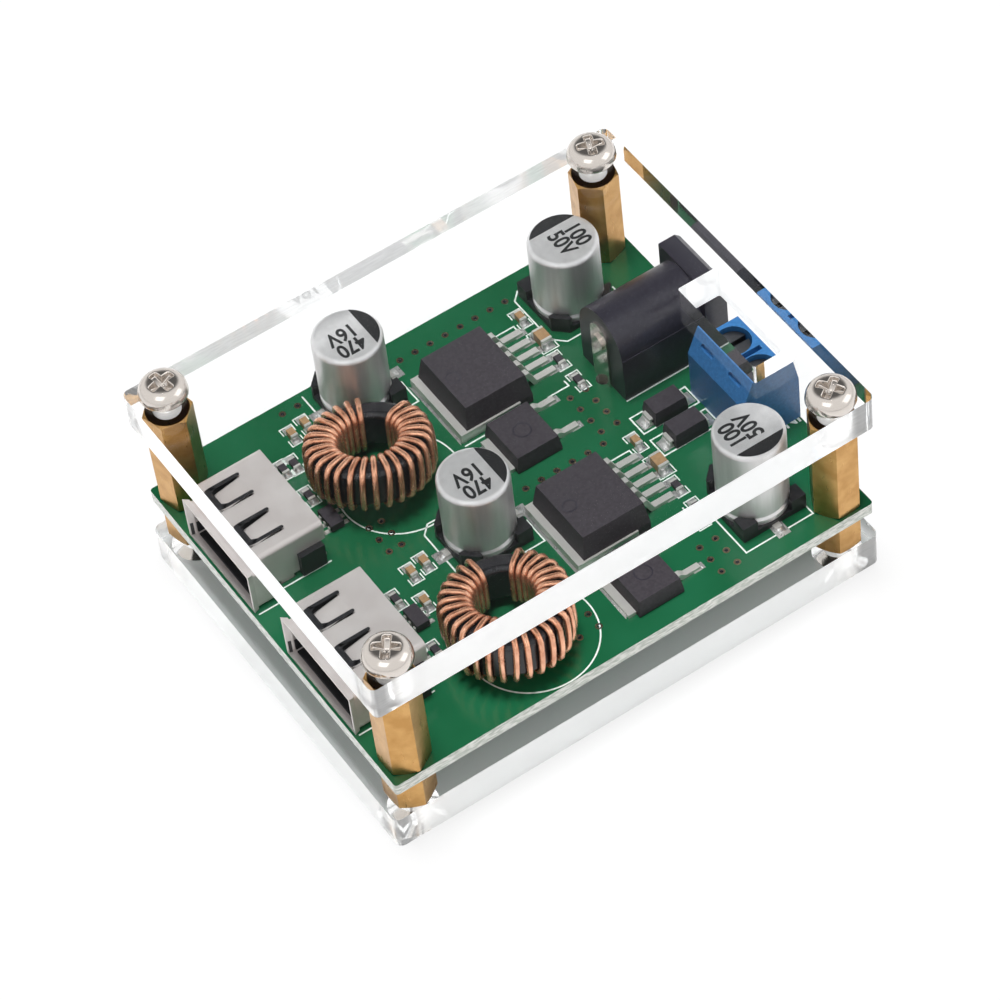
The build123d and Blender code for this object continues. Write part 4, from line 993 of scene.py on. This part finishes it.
def screw_profile(seat, tip):
    """Rows of radius and height under a head's rim: its seat, the thread and the tip."""
    rows = [(HEAD_RADIUS - 0.06, seat), (SHANK_RADIUS, seat)]
    level = seat
    while level > seat - THREAD_LENGTH:
        rows.append((SHANK_RADIUS - THREAD_DEPTH, level - THREAD_PITCH / 2))
        rows.append((SHANK_RADIUS, level - THREAD_PITCH))
        level -= THREAD_PITCH
    return rows + [(SHANK_RADIUS, tip)]


def top_screw_heads():
    """Domed heads with a cross recess, and threaded shanks."""
    bm = bmesh.new()
    angles = [2 * math.pi * k / HEAD_STEPS for k in range(HEAD_STEPS)]
    for (low, high), turn_deg in zip(islands("top_screws"), HEAD_TURNS_DEG):
        seat = high.z - HEAD_HEIGHT
        rows = []
        for radius in HEAD_RINGS:
            dome = HEAD_HEIGHT * max(0.0, 1 - (radius / HEAD_RADIUS) ** 3.4) ** 0.42
            top = seat + max(HEAD_RIM, dome)
            rows.append([
                (radius * math.cos(a), radius * math.sin(a),
                 top - recess_depth(radius * math.cos(a), radius * math.sin(a))) for a in angles])
        for radius, level in screw_profile(seat, low.z):
            rows.append([(radius * math.cos(a), radius * math.sin(a), level) for a in angles])
        place = (Matrix.Scale(MM, 4)
                 @ Matrix.Translation(((low.x + high.x) / 2, (low.y + high.y) / 2, 0))
                 @ Matrix.Rotation(math.radians(turn_deg), 4, "Z"))
        rings = [[bm.verts.new(place @ Vector(point)) for point in row] for row in rows]
        bm.faces.new(rings[0])
        bm.faces.new(reversed(rings[-1]))
        for first, second in zip(rings, rings[1:]):
            for k in range(HEAD_STEPS):
                j = (k + 1) % HEAD_STEPS
                bm.faces.new((first[k], second[k], second[j], first[j]))
    bmesh.ops.recalc_face_normals(bm, faces=bm.faces)
    mesh = bpy.data.meshes.new("top_screw_heads")
    bm.to_mesh(mesh)
    bm.free()
    for face in mesh.polygons:
        face.use_smooth = abs(face.normal.z) < 0.98 or face.center.z > SMOOTH_ABOVE
    made = piece("top_screw_heads", mesh, MATERIALS["nickel_plate"])
    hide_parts("top_screws")


# Plated holes

# Fields of holes in millimetres: x and y of the first, holes along X and along Y, pitch along X
VIA_FIELDS = (
    (0.5, 22.2, 8, 1, 2.03), (-14.2, 23.7, 2, 1, 2.0), (1.4, -1.8, 6, 1, 2.06),
    (12.5, 5.85, 2, 4, 2.1), (-15.25, 4.1, 2, 3, 1.6), (12.5, -18.75, 2, 3, 2.1),
    (-4.7, -20.85, 2, 1, 2.5), (-2.2, -18.8, 1, 1, 2.0))
VIA_PITCH = 2.03
VIA_PLACES = [
    (x + i * pitch, y - j * VIA_PITCH)
    for x, y, along, across, pitch in VIA_FIELDS for i in range(along) for j in range(across)]
RING_RADIUS = 0.325
RING_WIDTH = 0.19
BORE_RADIUS = 0.222
BORE_SIDES = 16
HOLE_SHADE_DEPTH = 0.05 * MM


def via_rings():
    """A tinned ring round each plated hole, on both faces, and a dark disc just below the top, painted
    shade for the dark inside the hole.
    """
    for name, level in (("via_rings_top", BOARD_TOP), ("via_rings_under", BOARD_BOTTOM - SILK_HEIGHT)):
        s = Sheet(level, SILK_HEIGHT)
        for x, y in VIA_PLACES:
            s.circle(x, y, RING_RADIUS, RING_WIDTH, 20)
        piece(name, s.mesh(name), PLATED_HOLE)
    # Painted shade: dark discs in the holes stand for the dark inside them
    s = Sheet(BOARD_TOP - HOLE_SHADE_DEPTH, SILK_HEIGHT)
    corners = [2 * math.pi * k / BORE_SIDES for k in range(BORE_SIDES)]
    for x, y in VIA_PLACES:
        s.prism([(x + BORE_RADIUS * math.cos(a), y + BORE_RADIUS * math.sin(a)) for a in corners])
    piece("via_hole_shade", s.mesh("via_hole_shade"), MATERIALS["iron_powder"])


# Capacitor tops

# In millimetres on a can's top with its mark towards +X. MARK_CHORD is the mark's straight side,
# as a part of the printed radius.
CAN_RIM = 0.35
MARK_CHORD = 0.57
MARK_STEPS = 24
NUMERAL_SIZE = 2.75
NUMERAL_WEIGHT = 0.07
NUMERAL_NARROW = 0.82
NUMERAL_ROWS = (-1.70, 0.40)
NUMERAL_INSET = -0.45


def words_mesh(name, words, size, weight):
    """Flat lettering as a mesh, centred, in metres."""
    curve = bpy.data.curves.new(name, "FONT")
    curve.body = words
    curve.size = size * MM
    curve.offset = weight * MM
    curve.extrude = SILK_HEIGHT / 2
    curve.align_x = "CENTER"
    curve.align_y = "CENTER"
    curve.resolution_u = 4
    holder = bpy.data.objects.new(name, curve)
    bpy.context.scene.collection.objects.link(holder)
    bpy.context.view_layer.update()
    mesh = bpy.data.meshes.new_from_object(holder)
    bpy.data.objects.remove(holder)
    return mesh


def capacitor_print():
    """The dark mark over the negative lead, and the value, on each can's top."""
    half = math.acos(MARK_CHORD)
    arc = [half * (2 * i / MARK_STEPS - 1) for i in range(MARK_STEPS + 1)]
    turned = Matrix.Rotation(math.pi, 4, "Z") @ Matrix.Diagonal((NUMERAL_NARROW, 1, 1, 1))
    for name, (turn, lines) in CAPACITORS.items():
        low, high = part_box(f"{name}_can")
        center = (low + high) / 2
        radius = (high.x - low.x) / 2 / MM - CAN_RIM
        place = (Matrix.Translation((center.x, center.y, high.z))
                 @ Matrix.Rotation(math.radians(turn), 4, "Z"))
        s = Sheet(0, SILK_HEIGHT)
        s.prism([(radius * math.cos(a), radius * math.sin(a)) for a in arc])
        mark = s.mesh(f"{name}_mark")
        mark.transform(place)
        piece(f"{name}_mark", mark, INK)
        for row, words in enumerate(lines):
            mesh = words_mesh(f"{name}_value_{row}", words, NUMERAL_SIZE, NUMERAL_WEIGHT)
            shift = Matrix.Translation(Vector((NUMERAL_INSET, NUMERAL_ROWS[row], 0)) * MM)
            mesh.transform(place @ shift @ turned)
            mesh.transform(Matrix.Translation((0, 0, SILK_HEIGHT / 2)))
            piece(f"{name}_value_{row}", mesh, INK)


# Stage and camera

FLOOR_HALF = 1.6
FLOOR_DROP = 0.02 * MM


def floor():
    mesh = bpy.data.meshes.new("studio_floor")
    bm = bmesh.new()
    bmesh.ops.create_grid(bm, x_segments=2, y_segments=2, size=FLOOR_HALF)
    bm.to_mesh(mesh)
    bm.free()
    made = bpy.data.objects.new("studio_floor", mesh)
    made.location = (0, 0, -FLOOR_DROP)
    made.data.materials.append(white_floor())
    bpy.context.scene.collection.objects.link(made)


def area_light(name, place, size, power, mirrored):
    lamp = bpy.data.lights.new(name, "AREA")
    lamp.shape = "RECTANGLE"
    lamp.size, lamp.size_y = size
    lamp.energy = power
    made = bpy.data.objects.new(name, lamp)
    made.location = place
    made.rotation_euler = (LAMP_AIM - Vector(place)).to_track_quat("-Z", "Y").to_euler()
    made.visible_glossy = mirrored
    made.visible_transmission = mirrored
    bpy.context.scene.collection.objects.link(made)


def studio():
    """A white world, dimmer near the horizon, with its dark flag, and the lamps."""
    world = bpy.data.worlds.new("studio")
    world.use_nodes = True
    bpy.context.scene.world = world
    tree = world.node_tree
    background = tree.nodes["Background"]
    background.inputs["Color"].default_value = (1.0, 1.0, 1.0, 1)
    direction = tree.nodes.new("ShaderNodeTexCoord").outputs["Generated"]
    towards = tree.nodes.new("ShaderNodeVectorMath")
    towards.operation = "DOT_PRODUCT"
    towards.inputs[1].default_value = FLAG_TOWARDS
    tree.links.new(direction, towards.inputs[0])
    parts = tree.nodes.new("ShaderNodeSeparateXYZ")
    tree.links.new(direction, parts.inputs["Vector"])

    def smooth(source, low, high, first, last):
        made = tree.nodes.new("ShaderNodeMapRange")
        made.interpolation_type = "SMOOTHSTEP"
        for socket, value in (
                ("From Min", low), ("From Max", high), ("To Min", first), ("To Max", last)):
            made.inputs[socket].default_value = value
        tree.links.new(source, made.inputs["Value"])
        return made.outputs["Result"]

    def mix(factor, first, last):
        made = tree.nodes.new("ShaderNodeMix")
        tree.links.new(factor, made.inputs["Factor"])
        for socket, value in (("A", first), ("B", last)):
            if isinstance(value, float):
                made.inputs[socket].default_value = value
            else:
                tree.links.new(value, made.inputs[socket])
        return made.outputs["Result"]

    def times(first, last):
        made = tree.nodes.new("ShaderNodeMath")
        made.operation = "MULTIPLY"
        tree.links.new(first, made.inputs[0])
        if isinstance(last, float):
            made.inputs[1].default_value = last
        else:
            tree.links.new(last, made.inputs[1])
        return made.outputs["Value"]

    path = tree.nodes.new("ShaderNodeLightPath")
    flag = smooth(towards.outputs["Value"], *FLAG_EDGE, 1.0, FLAG_LEVEL)
    low_sky = smooth(parts.outputs["Z"], 0.0, LOW_SKY_TOP, LOW_SKY, 1.0)
    soft = mix(path.outputs["Is Glossy Ray"], times(low_sky, WORLD_STRENGTH), MIRRORED_STRENGTH)
    lit = times(mix(path.outputs["Is Transmission Ray"], soft, 1.0), flag)
    tree.links.new(mix(path.outputs["Is Camera Ray"], lit, 1.0), background.inputs["Strength"])
    for lamp in LAMPS:
        area_light(*lamp)


def camera():
    """The photograph's camera."""
    data = bpy.data.cameras.new("camera")
    data.sensor_fit = "HORIZONTAL"
    data.lens = FOCAL_PER_WIDTH * data.sensor_width
    data.clip_start = 0.01
    back = Vector((
        math.sin(AZIMUTH) * math.cos(ELEVATION), -math.cos(AZIMUTH) * math.cos(ELEVATION),
        math.sin(ELEVATION)))
    level_right = Vector((math.cos(AZIMUTH), math.sin(AZIMUTH), 0))
    level_up = back.cross(level_right)
    right = math.cos(ROLL) * level_right + math.sin(ROLL) * level_up
    up = math.cos(ROLL) * level_up - math.sin(ROLL) * level_right
    turn = Matrix((right, up, back)).transposed().to_4x4()
    made = bpy.data.objects.new("camera", data)
    made.matrix_world = Matrix.Translation(AIM + back * DISTANCE) @ turn
    bpy.context.scene.collection.objects.link(made)
    bpy.context.scene.camera = made


camera()
studio()
floor()
dress_nodes()
board_print()
via_rings()
top_solder()
under_solder()
capacitor_print()
windings()
top_screw_heads()
for socket_number in (1, 2):
    usb_slot_shade(socket_number)
    usb_mouth_shade(socket_number)
ejector_marks()
bpy.context.scene.view_settings.view_transform = "Standard"
bpy.context.view_layer.update()
